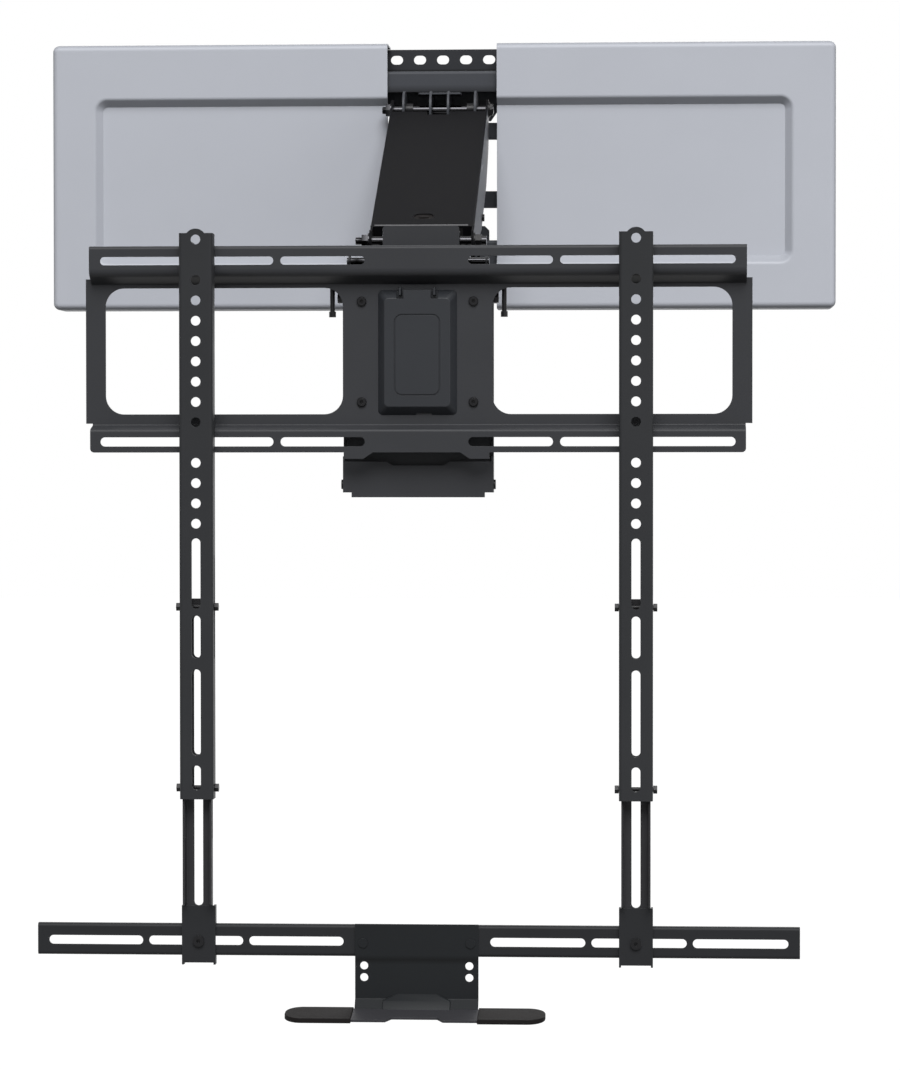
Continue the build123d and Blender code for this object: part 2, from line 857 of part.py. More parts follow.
def spring_rod(x):
    """Rod of the spring, with the eye on the arm's pin."""
    rod_end = spring_span - eye_offset
    with BuildPart() as rod:
        with BuildSketch(along_spring(x)):
            with Locations((rod_end - rod_length / 2, rod_r / 2)):
                Rectangle(rod_length, rod_r)
        revolve(axis=Axis(origin=(x, spring_base_y, spring_base_z), direction=spring_axis))
        with BuildSketch(along_spring(x + eye_width / 2)):
            with Locations((spring_span, 0)):
                Circle(eye_r)
            with Locations((spring_span - eye_offset / 2, 0)):
                Rectangle(eye_offset, eye_r)
        extrude(amount=eye_width)
        with BuildSketch(along_spring(x + eye_width / 2)):
            with Locations((spring_span, 0)):
                Circle(link_pin_r + run_fit)
        extrude(amount=eye_width, mode=Mode.SUBTRACT)
    return rod


spring_axis = (0, spring_top_y - spring_base_y, spring_top_z - spring_base_z)
left_spring_cylinder = spring_cylinder(-spring_x)
right_spring_cylinder = spring_cylinder(spring_x)
left_spring_tube = spring_tube(-spring_x)
right_spring_tube = spring_tube(spring_x)
left_spring_rod = spring_rod(-spring_x)
right_spring_rod = spring_rod(spring_x)

# Head yoke: a face, two cheeks on the arm's pins and two lugs for the swivel pin
yoke_bottom = low_pin_z - yoke_ear_r - yoke_web
with BuildPart() as head_yoke:
    with BuildSketch(head_front(yoke_back)):
        with Locations((0, (yoke_top_above + yoke_bottom) / 2)):
            RectangleRounded(2 * yoke_half, yoke_top_above - yoke_bottom, bend)
    extrude(amount=yoke_web)
    for x in (-yoke_half, yoke_half - yoke_sheet):
        with BuildSketch(head_side(x)):
            with Locations((wrist_y, 0), (wrist_y, low_pin_z)):
                Circle(yoke_ear_r)
            with Locations((-yoke_back - yoke_web / 2, low_pin_z / 2)):
                Rectangle(yoke_web, link_drop + yoke_ear_r)
            make_hull()
        extrude(amount=yoke_sheet)
    for z in (lug_top_z, lug_low_z + lug_thick):
        with BuildSketch(head_level(z)):
            with Locations((0, swivel_y)):
                Circle(lug_r)
            with Locations((0, -yoke_back - yoke_web / 2)):
                Rectangle(2 * lug_r, yoke_web)
            make_hull()
        extrude(amount=-lug_thick)
    with BuildSketch(head_side(-yoke_half)):
        with Locations((wrist_y, 0)):
            Circle(pin_r + run_fit)
        with Locations((wrist_y, low_pin_z)):
            Circle(link_pin_r)
    extrude(amount=2 * yoke_half, mode=Mode.SUBTRACT)
    with BuildSketch(head_level(lug_top_z)):
        with Locations((0, swivel_y)):
            Circle(swivel_pin_r)
    extrude(amount=lug_low_z - lug_top_z, mode=Mode.SUBTRACT)

# Stub pins that carry the lower links on the yoke
with BuildPart() as link_head_pins:
    for direction in (-1, 1):
        start = direction * (yoke_half - yoke_sheet)
        with BuildSketch(head_side(start)):
            with Locations((wrist_y, low_pin_z)):
                Circle(link_pin_r)
        extrude(amount=direction * (link_bar_x + link_bar_thick / 2 + 3 - yoke_half + yoke_sheet))
        with BuildSketch(head_side(direction * (link_bar_x + link_bar_thick / 2 + gap))):
            with Locations((wrist_y, low_pin_z)):
                Circle(link_pin_r + 2.5)
        extrude(amount=direction * 2.5)

# Swivel pin with a head on the upper lug
with BuildPart() as swivel_pin:
    with BuildSketch(head_level(lug_low_z - 5)):
        with Locations((0, swivel_y)):
            Circle(swivel_pin_r)
    extrude(amount=lug_top_z - lug_low_z + 5)
    with BuildSketch(head_level(lug_top_z)):
        with Locations((0, swivel_y)):
            RegularPolygon(swivel_pin_r + 3.5, 6)
    extrude(amount=head_bolt_head)
    with BuildSketch(head_level(lug_low_z)):
        with Locations((0, swivel_y)):
            Circle(swivel_pin_r + 3.5)
    extrude(amount=-3)

# Hub that turns on the swivel pin, fixed to the housing
hub_top = lug_top_z - lug_thick - gap
hub_bottom = lug_low_z + lug_thick + gap
with BuildPart() as swivel_hub:
    with BuildSketch(head_level(hub_bottom)):
        with Locations((0, swivel_y)):
            Circle(hub_r)
            Circle(swivel_pin_r + run_fit, mode=Mode.SUBTRACT)
    extrude(amount=hub_top - hub_bottom)
    with BuildSketch(head_level(hub_bottom)):
        with Locations((0, swivel_y - hub_r * 0.82)):
            Rectangle(hub_r * 2, hub_r * 0.36)
    extrude(amount=hub_top - hub_bottom)

# Housing behind the television plate
housing_front = housing_back + housing_side
skirt_front = housing_back + skirt_depth
with BuildPart() as head_housing:
    with BuildSketch(head_level(housing_bottom)):
        with BuildLine():
            FilletPolyline(
                (-housing_half + sheet / 2, -housing_front),
                (-housing_half + sheet / 2, -housing_back - sheet / 2),
                (housing_half - sheet / 2, -housing_back - sheet / 2),
                (housing_half - sheet / 2, -housing_front),
                radius=bend,
            )
        trace(line_width=sheet)
    extrude(amount=housing_top - housing_bottom)
    for x in (-housing_half, housing_half - sheet):
        with BuildSketch(head_side(x)):
            with Locations((tilt_y, tilt_z)):
                Circle(tilt_ear_r)
            with Locations((-housing_back - sheet, tilt_z)):
                Rectangle(sheet, 2 * tilt_ear_r)
            make_hull()
        extrude(amount=sheet)
        with BuildSketch(head_side(x)):
            with Locations((-(housing_back + skirt_front) / 2, (skirt_side_top + housing_bottom) / 2)):
                Rectangle(skirt_front - housing_back, skirt_side_top - housing_bottom)
        extrude(amount=sheet)
    with BuildSketch(head_front(skirt_front - sheet)):
        with BuildLine():
            Polyline(
                (-housing_half, housing_bottom),
                (-housing_lip_half, housing_bottom),
                (-housing_lip_half, housing_bottom - housing_lip),
                (housing_lip_half, housing_bottom - housing_lip),
                (housing_lip_half, housing_bottom),
                (housing_half, housing_bottom),
                (housing_half, skirt_top),
                (skirt_notch_half, skirt_top),
                (skirt_notch_half - skirt_notch_run, skirt_top - skirt_notch_depth),
                (-skirt_notch_half + skirt_notch_run, skirt_top - skirt_notch_depth),
                (-skirt_notch_half, skirt_top),
                (-housing_half, skirt_top),
                close=True,
            )
        make_face()
    extrude(amount=sheet)
    with BuildSketch(head_level(housing_bottom)):
        with Locations((0, -(housing_back + skirt_front) / 2)):
            Rectangle(2 * housing_half, skirt_front - housing_back)
    extrude(amount=sheet)
    for direction in (-1, 1):
        with BuildSketch(head_level(tab_z)):
            with Locations((direction * (housing_half + tab_reach / 2), tilt_y)):
                Rectangle(tab_reach, 2 * tilt_ear_r * 0.8)
        extrude(amount=plate_sheet)
    with BuildSketch(head_level(tab_z)):
        with Locations((-screw_x, tilt_y), (screw_x, tilt_y)):
            Circle(screw_r + run_fit)
    extrude(amount=plate_sheet, mode=Mode.SUBTRACT)
    with BuildSketch(head_side(-housing_half)):
        with Locations((tilt_y, tilt_z)):
            Circle(tilt_bolt_r)
    extrude(amount=2 * housing_half, mode=Mode.SUBTRACT)

# Bolts on which the plate tilts
with BuildPart() as tilt_bolts:
    for direction in (-1, 1):
        with BuildSketch(head_side(direction * (tilt_half - sheet - 3))):
            with Locations((tilt_y, tilt_z)):
                Circle(tilt_bolt_r)
        extrude(amount=direction * (housing_half - tilt_half + sheet + 3))
        with BuildSketch(head_side(direction * housing_half)):
            with Locations((tilt_y, tilt_z)):
                RegularPolygon(7.5, 6)
        extrude(amount=direction * 6.5)

# Low bolts in the housing's sides
with BuildPart() as housing_bolts:
    for direction in (-1, 1):
        with BuildSketch(head_side(direction * housing_half)):
            with Locations((-(housing_back + skirt_front) / 2, side_bolt_z)):
                Circle(6)
        extrude(amount=direction * 2.5)


def level_screw(x):
    """Vertical screw in the housing's tab, turned by its lower head."""
    with BuildPart() as screw:
        with BuildSketch(head_level(screw_bottom + screw_head_h)):
            with Locations((x, tilt_y)):
                Circle(screw_r)
        extrude(amount=screw_top - screw_bottom - screw_head_h)
        with BuildSketch(head_level(screw_bottom)):
            with Locations((x, tilt_y)):
                RegularPolygon(screw_head_r, 8)
        extrude(amount=screw_head_h)
    return screw


left_level_screw = level_screw(-screw_x)
right_level_screw = level_screw(screw_x)

# Television plate: one pressing with a stepped-out rail above and below the web
with BuildPart() as tv_plate:
    with BuildSketch(head_side(-post_half)):
        with BuildLine():
            FilletPolyline(
                (-plate_front + 11, rail_top - sheet / 2),
                (-plate_front + sheet / 2, rail_top - sheet / 2),
                (-plate_front + sheet / 2, rail_face_end),
                (-plate_web + sheet / 2, web_start),
                (-plate_web + sheet / 2, web_end),
                (-plate_front + sheet / 2, low_face_start),
                (-plate_front + sheet / 2, low_face_end),
                radius=(bend, step_bend, bend, bend, bend),
            )
        trace(line_width=sheet)
    extrude(amount=2 * post_half)
    for direction in (-1, 1):
        with BuildSketch(head_front(plate_web - sheet - post_lip)):
            middle = (rail_half + post_half) / 2
            with Locations((direction * (middle + 0.5), (post_foot + rail_top + 5) / 2)):
                Rectangle(post_half - rail_half + 1, rail_top + 5 - post_foot)
            low_middle = (low_rail_half + post_half) / 2
            with Locations((direction * (low_middle + 0.5), (post_bottom + low_face_end - 5) / 2)):
                Rectangle(post_half - low_rail_half + 1, post_bottom - low_face_end + 5)
        extrude(amount=plate_step + post_lip + 2 * sheet, mode=Mode.SUBTRACT)
        with BuildSketch(head_front(plate_web - sheet)):
            with Locations((direction * (middle - 2), (post_top + post_foot - 2) / 2)):
                Rectangle(post_half - rail_half + 4, post_top - post_foot + 2)
        extrude(amount=sheet)
        with BuildSketch(head_side(direction * post_half)):
            with Locations((-plate_web + sheet + post_lip / 2 - 1, (post_top + post_bottom) / 2)):
                Rectangle(post_lip, post_top - post_bottom)
        extrude(amount=-direction * sheet)
    fillet(tv_plate.edges().filter_by(Axis.Y).group_by(Axis.Z)[0], flange_corner)
    for direction in (-1, 1):
        with BuildSketch(head_front(plate_front - sheet)):
            with BuildLine():
                Polyline(
                    (direction * tab_inner, low_face_end + 2),
                    (direction * tab_inner, low_face_end),
                    (direction * (tab_inner + tab_slant), low_face_end - tab_drop),
                    (direction * tab_outer, low_face_end - tab_drop),
                    (direction * tab_outer, low_face_end + 2),
                    close=True,
                )
            make_face()
        extrude(amount=sheet)
    with BuildSketch(head_front(plate_web - 2 * sheet)):
        window_middle = (window_inner + window_outer) / 2
        for direction in (-1, 1):
            with Locations((direction * window_middle, (window_top + window_bottom) / 2)):
                RectangleRounded(window_outer - window_inner, window_top - window_bottom, window_corner)
    extrude(amount=plate_step, mode=Mode.SUBTRACT)
    with BuildSketch(head_front(plate_front - 2 * sheet)):
        for start, end in slot_spans:
            for direction in (-1, 1):
                with Locations((direction * (start + end) / 2, top_slot_z)):
                    SlotOverall(end - start, top_slot_height)
                with Locations((direction * (start + end) / 2, low_slot_z)):
                    SlotOverall(end - start, low_slot_height)
    extrude(amount=3 * sheet, mode=Mode.SUBTRACT)
    with BuildSketch(head_front(plate_web - 2 * sheet)):
        for z in screw_pos_z:
            with Locations((-screw_pos_x, z), (screw_pos_x, z)):
                Circle(plate_screw_r)
    extrude(amount=3 * sheet, mode=Mode.SUBTRACT)

# Bracket behind the plate that tilts on the housing's bolts
tilt_back = plate_web - sheet
with BuildPart() as tilt_bracket:
    with BuildSketch(head_front(tilt_back - sheet)):
        with Locations((0, (hanger_z - 10 + screw_pos_z[1] - 14) / 2)):
            Rectangle(2 * tilt_half, hanger_z - 10 - screw_pos_z[1] + 14)
    extrude(amount=sheet)
    for direction in (-1, 1):
        with BuildSketch(head_side(direction * tilt_half)):
            with Locations((tilt_y, tilt_z)):
                Circle(tilt_from_back - sheet / 5)
            with Locations((tilt_y - 1.5, hanger_z)):
                Circle(hanger_r + 2.5)
            with Locations((-tilt_back + sheet / 2, (hanger_z + tilt_z) / 2)):
                Rectangle(sheet, hanger_z - tilt_z)
            make_hull()
        extrude(amount=-direction * sheet)
        with BuildSketch(head_level(screw_top + 1.0)):
            with Locations((direction * (tilt_half + screw_x + 6) / 2, tilt_y - 2)):
                Rectangle(screw_x + 6 - tilt_half, 16)
        extrude(amount=sheet)
    with BuildSketch(head_side(-tilt_half)):
        with Locations((tilt_y, tilt_z)):
            Circle(tilt_bolt_r + run_fit)
        with Locations((tilt_y - 1.5, hanger_z)):
            Circle(hanger_r)
    extrude(amount=2 * tilt_half, mode=Mode.SUBTRACT)
    with BuildSketch(head_front(tilt_back - 2 * sheet)):
        for z in screw_pos_z:
            with Locations((-screw_pos_x, z), (screw_pos_x, z)):
                Circle(plate_screw_r)
    extrude(amount=3 * sheet, mode=Mode.SUBTRACT)

# Rod across the top of the bracket
with BuildPart() as hanger_rod:
    with BuildSketch(head_side(-tilt_half - 2)):
        with Locations((tilt_y - 1.5, hanger_z)):
            Circle(hanger_r)
    extrude(amount=2 * tilt_half + 4)

# Four screws through the plate
with BuildPart() as plate_screws:
    for x in (-screw_pos_x, screw_pos_x):
        for z in screw_pos_z:
            with BuildSketch(head_front(tilt_back - sheet - 3)):
                with Locations((x, z)):
                    Circle(plate_screw_r)
            extrude(amount=2 * sheet + 3)
            with BuildSketch(head_front(plate_web)):
                with Locations((x, z)):
                    Circle(plate_screw_head_r)
                    RegularPolygon(plate_screw_head_r * 0.42, 6, mode=Mode.SUBTRACT)
            extrude(amount=3.2)
    chamfer(plate_screws.edges().filter_by(GeomType.CIRCLE).group_by(Axis.Y)[0], 1.0)

# Raised centre cover
with BuildPart() as centre_cover:
    centre_width = 2 * centre_half
    centre_height = centre_top - centre_bottom
    with BuildSketch(head_front(plate_web)):
        with Locations((0, (centre_top + centre_bottom) / 2)):
            RectangleRounded(centre_width, centre_height, centre_corner)
    with BuildSketch(head_front(plate_web + centre_rise)):
        with Locations((0, (centre_top + centre_bottom) / 2)):
            RectangleRounded(
                centre_width - 2 * centre_side_slope, centre_height - 2 * centre_end_slope, centre_corner
            )
    loft()
    fillet(centre_cover.faces().sort_by(Axis.Y)[0].edges(), 1.5)
    with BuildSketch(head_front(plate_web + centre_rise)):
        with Locations((0, (groove_top + groove_bottom) / 2)):
            RectangleRounded(2 * groove_half, groove_top - groove_bottom, 10)
            RectangleRounded(
                2 * groove_half - 2 * groove_width,
                groove_top - groove_bottom - 2 * groove_width,
                10 - groove_width,
                mode=Mode.SUBTRACT,
            )
    extrude(amount=-groove_depth, mode=Mode.SUBTRACT)
    with BuildSketch(head_front(plate_web)):
        with Locations((0, centre_top - centre_end_slope / 2 - 1)):
            Rectangle(2 * centre_hook_x, centre_end_slope + 1)
    extrude(amount=centre_rise)
    with BuildSketch(head_front(plate_web + 1.5)):
        with Locations((-centre_hook_x, centre_top - 4.5), (centre_hook_x, centre_top - 4.5)):
            Rectangle(centre_notch_width, 13)
    extrude(amount=centre_rise, mode=Mode.SUBTRACT)
    with BuildSketch(head_front(plate_web)):
        with Locations((-centre_hook_x, centre_top - 2), (centre_hook_x, centre_top - 2)):
            RectangleRounded(centre_hook_width, 11, 1.5)
    extrude(amount=centre_rise - 1, taper=6)
    with BuildSketch(head_front(plate_web - 1)):
        with Locations((8, centre_bottom)):
            RectangleRounded(20, 6, 2)
    extrude(amount=centre_rise, mode=Mode.SUBTRACT)


def tv_rail(x):
    """Channel that carries the television, with its row of holes and slots."""
    web_plane = rail_front - sheet
    with BuildPart() as rail:
        with BuildSketch(head_level(rail_end)):
            with BuildLine():
                FilletPolyline(
                    (x - rail_width / 2 + sheet / 2, -leg_back),
                    (x - rail_width / 2 + sheet / 2, -rail_front + sheet / 2),
                    (x + rail_width / 2 - sheet / 2, -rail_front + sheet / 2),
                    (x + rail_width / 2 - sheet / 2, -leg_back),
                    radius=bend,
                )
            trace(line_width=sheet)
        extrude(amount=rail_shoulder - rail_end)
        with BuildSketch(head_front(web_plane)):
            with Locations((x, hole_start)):
                Circle(tab_r)
        extrude(amount=sheet)
        with BuildSketch(head_front(web_plane)):
            for number in hole_numbers:
                with Locations((x, hole_start - hole_pitch * number)):
                    Circle(hole_r)
            for start, end in rail_slots:
                with Locations((x, (start + end) / 2)):
                    SlotOverall(start - end, rail_slot_width, rotation=90)
        extrude(amount=sheet, mode=Mode.SUBTRACT)
        with BuildSketch(head_side(x - rail_width / 2)):
            with Locations((-(leg_back + leg_front) / 2, upper_bolt_z)):
                SlotOverall(2 * adjust + 3 * side_bolt_r, 2 * side_bolt_r + 1, rotation=90)
            with Locations((-(leg_back + leg_front) / 2, lower_bolt_z)):
                Circle(side_bolt_r)
        extrude(amount=rail_width, mode=Mode.SUBTRACT)
    return rail


left_rail = tv_rail(-rail_x)
right_rail = tv_rail(rail_x)

# Hooks that hang the rails on the plate's upper rail, one in each channel
hook_front = plate_front + gap
hook_back = plate_front - 11 - gap - sheet
with BuildPart() as rail_hooks:
    for x in (-rail_x, rail_x):
        with BuildSketch(head_side(x - hook_half)):
            with BuildLine():
                Polyline(
                    (-rail_front + sheet, rail_top + gap),
                    (-rail_front + sheet, rail_top + 4),
                    (-hook_back, rail_top + 4),
                    (-hook_back, rail_top - 12),
                    (-hook_back - sheet, rail_top - 12),
                    (-hook_back - sheet, rail_top + gap),
                    close=True,
                )
            make_face()
        extrude(amount=2 * hook_half)
        with BuildSketch(head_side(x - hook_half)):
            with Locations((-(hook_front + rail_front - sheet) / 2, rail_top - 6)):
                Rectangle(rail_front - sheet - hook_front, 4)
        extrude(amount=2 * hook_half)
        with BuildSketch(head_side(x - hook_half)):
            with Locations((-(rail_front - sheet) + 1.5, rail_top - 4)):
                Rectangle(3, 12)
        extrude(amount=2 * hook_half)
        with BuildSketch(head_front(hook_back - 2 * sheet)):
            with Locations((x, hole_start)):
                Circle(hole_r + 0.6)
        extrude(amount=rail_front - hook_back + 2 * sheet, mode=Mode.SUBTRACT)

# Latches that hold the rails behind the plate's lower rail
with BuildPart() as rail_latches:
    for x in (-rail_x, rail_x):
        with BuildSketch(head_side(x - hook_half)):
            with BuildLine():
                Polyline(
                    (-rail_front + sheet, low_face_end - gap),
                    (-rail_front + sheet, low_face_end - 5),
                    (-plate_front + 2 * sheet + gap, low_face_end - 5),
                    (-plate_front + 2 * sheet + gap, low_face_end + 8),
                    (-plate_front + sheet + gap, low_face_end + 8),
                    (-plate_front + sheet + gap, low_face_end - gap),
                    close=True,
                )
            make_face()
        extrude(amount=2 * hook_half)


def side_bolts(z):
    """Bolt and nut through the sides of each rail and leg."""
    bolt_y = -(leg_back + leg_front) / 2
    with BuildPart() as bolts:
        for x in (-rail_x, rail_x):
            with BuildSketch(head_side(x - rail_width / 2 - gap)):
                with Locations((bolt_y, z)):
                    Circle(side_bolt_r - gap / 4)
            extrude(amount=rail_width + 2 * gap)
            for direction in (-1, 1):
                with BuildSketch(head_side(x + direction * (rail_width / 2 + gap))):
                    with Locations((bolt_y, z)):
                        RegularPolygon(5.5, 6)
                extrude(amount=direction * 5)
    return bolts


leg_bolts = side_bolts(upper_bolt_z)
rail_bolts = side_bolts(lower_bolt_z)


def extension_leg(x):
    """Inner channel that slides in the rail, with its web at the back."""
    with BuildPart() as leg:
        with BuildSketch(head_level(leg_end)):
            with BuildLine():
                FilletPolyline(
                    (x - leg_width / 2 + sheet / 2, -leg_front),
                    (x - leg_width / 2 + sheet / 2, -leg_back - sheet / 2),
                    (x + leg_width / 2 - sheet / 2, -leg_back - sheet / 2),
                    (x + leg_width / 2 - sheet / 2, -leg_front),
                    radius=bend,
                )
            trace(line_width=sheet)
        extrude(amount=leg_top - leg_end)
        with BuildSketch(head_front(leg_back + sheet)):
            with Locations((x, (leg_flange_end + leg_end) / 2)):
                Rectangle(leg_width + 2, leg_flange_end - leg_end)
        extrude(amount=rail_depth, mode=Mode.SUBTRACT)
        with BuildSketch(head_front(leg_back)):
            for start, end in leg_slots:
                with Locations((x, (start + end) / 2)):
                    SlotOverall(start - end, rail_slot_width, rotation=90)
        extrude(amount=sheet, mode=Mode.SUBTRACT)
        with BuildSketch(head_side(x - leg_width / 2)):
            with Locations((-(leg_back + leg_front) / 2, lower_bolt_z)):
                SlotOverall(2 * adjust + 3 * side_bolt_r, 2 * side_bolt_r + 1, rotation=90)
            with Locations((-(leg_back + leg_front) / 2, upper_bolt_z)):
                Circle(side_bolt_r)
        extrude(amount=leg_width, mode=Mode.SUBTRACT)
    return leg


left_leg = extension_leg(-rail_x)
right_leg = extension_leg(rail_x)

# Clamps that hold the lower bar to the legs
clamp_web = leg_back + sheet
with BuildPart() as bar_clamps:
    for x in (-rail_x, rail_x):
        with BuildSketch(head_front(clamp_web)):
            with Locations((x, (clamp_top + clamp_bottom) / 2)):
                Rectangle(rail_width, clamp_top - clamp_bottom)
        extrude(amount=sheet)
        for edge in (x - rail_width / 2, x + rail_width / 2 - sheet):
            with BuildSketch(head_side(edge)):
                with BuildLine():
                    Polyline(
                        (-clamp_web - sheet, clamp_top),
                        (-leg_back + bar_depth, clamp_top),
                        (-leg_back + bar_depth, bar_top + gap),
                        (-leg_back - gap, bar_top + gap),
                        (-leg_back - gap, bar_bottom - gap),
                        (-leg_back + bar_depth, bar_bottom - gap),
                        (-leg_back + bar_depth, clamp_bottom - clamp_ear),
                        (-clamp_web - sheet, clamp_bottom - clamp_ear),
                        close=True,
                    )
                make_face()
            extrude(amount=sheet)
        with BuildSketch(head_front(clamp_web)):
            with Locations((x, bar_slot_z)):
                Circle(bar_bolt_r)
        extrude(amount=sheet, mode=Mode.SUBTRACT)

# Lower bar with its row of slots
with BuildPart() as lower_bar:
    with BuildSketch(head_side(-bar_half)):
        with BuildLine():
            FilletPolyline(
                (-leg_back + bar_depth, bar_top - sheet / 2),
                (-leg_back + sheet / 2, bar_top - sheet / 2),
                (-leg_back + sheet / 2, bar_bottom + sheet / 2),
                (-leg_back + bar_depth, bar_bottom + sheet / 2),
                radius=bend,
            )
        trace(line_width=sheet)
    extrude(amount=2 * bar_half)
    with BuildSketch(head_front(leg_back - 2 * sheet)):
        for x in slot_row(bar_slot_start + bar_slot_length / 2, bar_slot_pitch, 3):
            with Locations((x, bar_slot_z), (-x, bar_slot_z)):
                SlotOverall(bar_slot_length, bar_slot_height)
        with Locations((-rivet_x, rivet_z), (rivet_x, rivet_z)):
            Circle(rivet_r)
    extrude(amount=3 * sheet, mode=Mode.SUBTRACT)

# Bolts through the clamps, the legs and the bar's slots
with BuildPart() as bar_bolts:
    for x in (-rail_x, rail_x):
        with BuildSketch(head_front(leg_back - sheet - 6)):
            with Locations((x, bar_slot_z)):
                Circle(bar_bolt_r)
        extrude(amount=3 * sheet + 6)
        with BuildSketch(head_front(clamp_web + sheet)):
            with Locations((x, bar_slot_z)):
                Circle(7)
                RegularPolygon(2.6, 6, mode=Mode.SUBTRACT)
        extrude(amount=3.5)
        with BuildSketch(head_front(leg_back - sheet)):
            with Locations((x, bar_slot_z)):
                RegularPolygon(9, 6)
        extrude(amount=-5)

# Handle bracket: a plate on the bar that folds out to the blade at its foot
bracket_y = -leg_back - sheet / 2
blade_back = blade_start - bracket_y
with BuildPart() as handle_bracket:
    with BuildSketch(head_side(-handle_half)):
        with BuildLine():
            FilletPolyline(
                (bracket_y, handle_top),
                (bracket_y, handle_fold),
                (-blade_back, blade_z),
                radius=bend,
            )
        trace(line_width=sheet)
    extrude(amount=2 * handle_half)
    with BuildSketch(head_front(leg_back - sheet)):
        for z in handle_hole_z:
            with Locations((-handle_hole_x, z), (handle_hole_x, z)):
                Circle(handle_hole_r)
        with Locations((-rivet_x, rivet_z), (rivet_x, rivet_z)):
            Circle(rivet_r)
    extrude(amount=3 * sheet, mode=Mode.SUBTRACT)

# Handle blade, a flat plate that reaches out to the hand
blade_tilt = atan2(blade_drop, blade_reach)
blade_plane = Plane(
    origin=(0, -blade_back, wrist_z + blade_z),
    x_dir=(1, 0, 0),
    z_dir=(0, -sin(blade_tilt), cos(blade_tilt)),
)


def blade_outline(grow):
    """Outline of the blade seen from above, grown by grow."""
    with BuildSketch(blade_plane.offset(-blade_sheet / 2 - grow)) as outline:
        with Locations((0, -blade_reach / 2)):
            RectangleRounded(2 * (blade_half + grow), blade_reach + 2 * grow, blade_corner)
        with BuildLine():
            Polyline(
                (-blade_notch_half - 8, -blade_reach - grow - 1),
                (-blade_notch_half, -blade_reach + blade_notch + grow),
                (blade_notch_half, -blade_reach + blade_notch + grow),
                (blade_notch_half + 8, -blade_reach - grow - 1),
                close=True,
            )
        make_face(mode=Mode.SUBTRACT)
    return outline.sketch


with BuildPart() as handle_blade:
    add(blade_outline(0))
    extrude(amount=blade_sheet)
    with BuildSketch(head_side(-handle_half)):
        with BuildLine():
            FilletPolyline(
                (bracket_y, handle_top),
                (bracket_y, handle_fold),
                (-blade_back, blade_z),
                radius=bend,
            )
        trace(line_width=sheet)
    extrude(amount=2 * handle_half, mode=Mode.SUBTRACT)


def grip(direction):
    """Moulded skin over one wing of the blade."""
    with BuildPart() as skin:
        add(blade_outline(grip_skin))
        extrude(amount=blade_sheet + 2 * grip_skin)
        with BuildSketch(head_side(direction * (handle_half + 1))):
            with Locations((-blade_back - blade_reach / 2, blade_z)):
                Rectangle(blade_reach * 2, blade_reach)
        extrude(amount=-direction * 2 * blade_half, mode=Mode.SUBTRACT)
        rims = skin.edges().filter_by(blade_plane).filter_by(lambda edge: edge.length > 12)
        fillet(rims, grip_skin * 0.7)
        add(handle_blade.part, mode=Mode.SUBTRACT)
    return skin


left_grip = grip(-1)
right_grip = grip(1)

# Rivets that join the bracket to the bar
with BuildPart() as handle_rivets:
    for x in (-rivet_x, rivet_x):
        with BuildSketch(head_front(leg_back - sheet)):
            with Locations((x, rivet_z)):
                Circle(rivet_r)
        extrude(amount=2 * sheet)
        with BuildSketch(head_front(leg_back + sheet)):
            with Locations((x, rivet_z)):
                Circle(rivet_r * 1.7)
        extrude(amount=1.4)
        with BuildSketch(head_front(leg_back - sheet)):
            with Locations((x, rivet_z)):
                Circle(rivet_r * 1.5)
        extrude(amount=-1.4)


pieces = {
    "top_rail": top_rail,
    "bottom_rail": bottom_rail,
    "left_upright": left_upright,
    "right_upright": right_upright,
    "cross_bars": cross_bars,
    "hinge_bracket": hinge_bracket,
    "spring_base_pin": spring_base_pin,
    "link_wall_pins": link_wall_pins,
    "frame_bolts": frame_bolts,
    "pin_collars": pin_collars,
    "left_cover": left_cover,
    "right_cover": right_cover,
    "left_cover_clips": left_cover_clips,
    "right_cover_clips": right_cover_clips,
    "upper_arm": upper_arm,
    "panel_plug": panel_plug,
    "upper_pin": upper_pin,
    "lower_pin": lower_pin,
    "arm_pin_nuts": arm_pin_nuts,
    "spring_top_pin": spring_top_pin,
    "arm_side_bolts": arm_side_bolts,
    "left_link": left_link,
    "right_link": right_link,
    "link_tie": link_tie,
    "left_spring_cylinder": left_spring_cylinder,
    "right_spring_cylinder": right_spring_cylinder,
    "left_spring_tube": left_spring_tube,
    "right_spring_tube": right_spring_tube,
    "left_spring_rod": left_spring_rod,
    "right_spring_rod": right_spring_rod,
    "head_yoke": head_yoke,
    "link_head_pins": link_head_pins,
    "swivel_pin": swivel_pin,
    "swivel_hub": swivel_hub,
    "head_housing": head_housing,
    "tilt_bolts": tilt_bolts,
    "housing_bolts": housing_bolts,
    "left_level_screw": left_level_screw,
    "right_level_screw": right_level_screw,
    "tv_plate": tv_plate,
    "tilt_bracket": tilt_bracket,
    "hanger_rod": hanger_rod,
    "plate_screws": plate_screws,
    "centre_cover": centre_cover,
    "left_rail": left_rail,
    "right_rail": right_rail,
    "rail_hooks": rail_hooks,
    "rail_latches": rail_latches,
    "rail_bolts": rail_bolts,
    "left_leg": left_leg,
    "right_leg": right_leg,
    "leg_bolts": leg_bolts,
    "bar_clamps": bar_clamps,
    "lower_bar": lower_bar,
    "bar_bolts": bar_bolts,
    "handle_bracket": handle_bracket,
    "handle_blade": handle_blade,
    "left_grip": left_grip,
    "right_grip": right_grip,
    "handle_rivets": handle_rivets,
}

for label, piece in pieces.items():
    piece.part.label = label
    export_step(piece.part, f"parts/{label}.step")
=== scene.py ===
import math

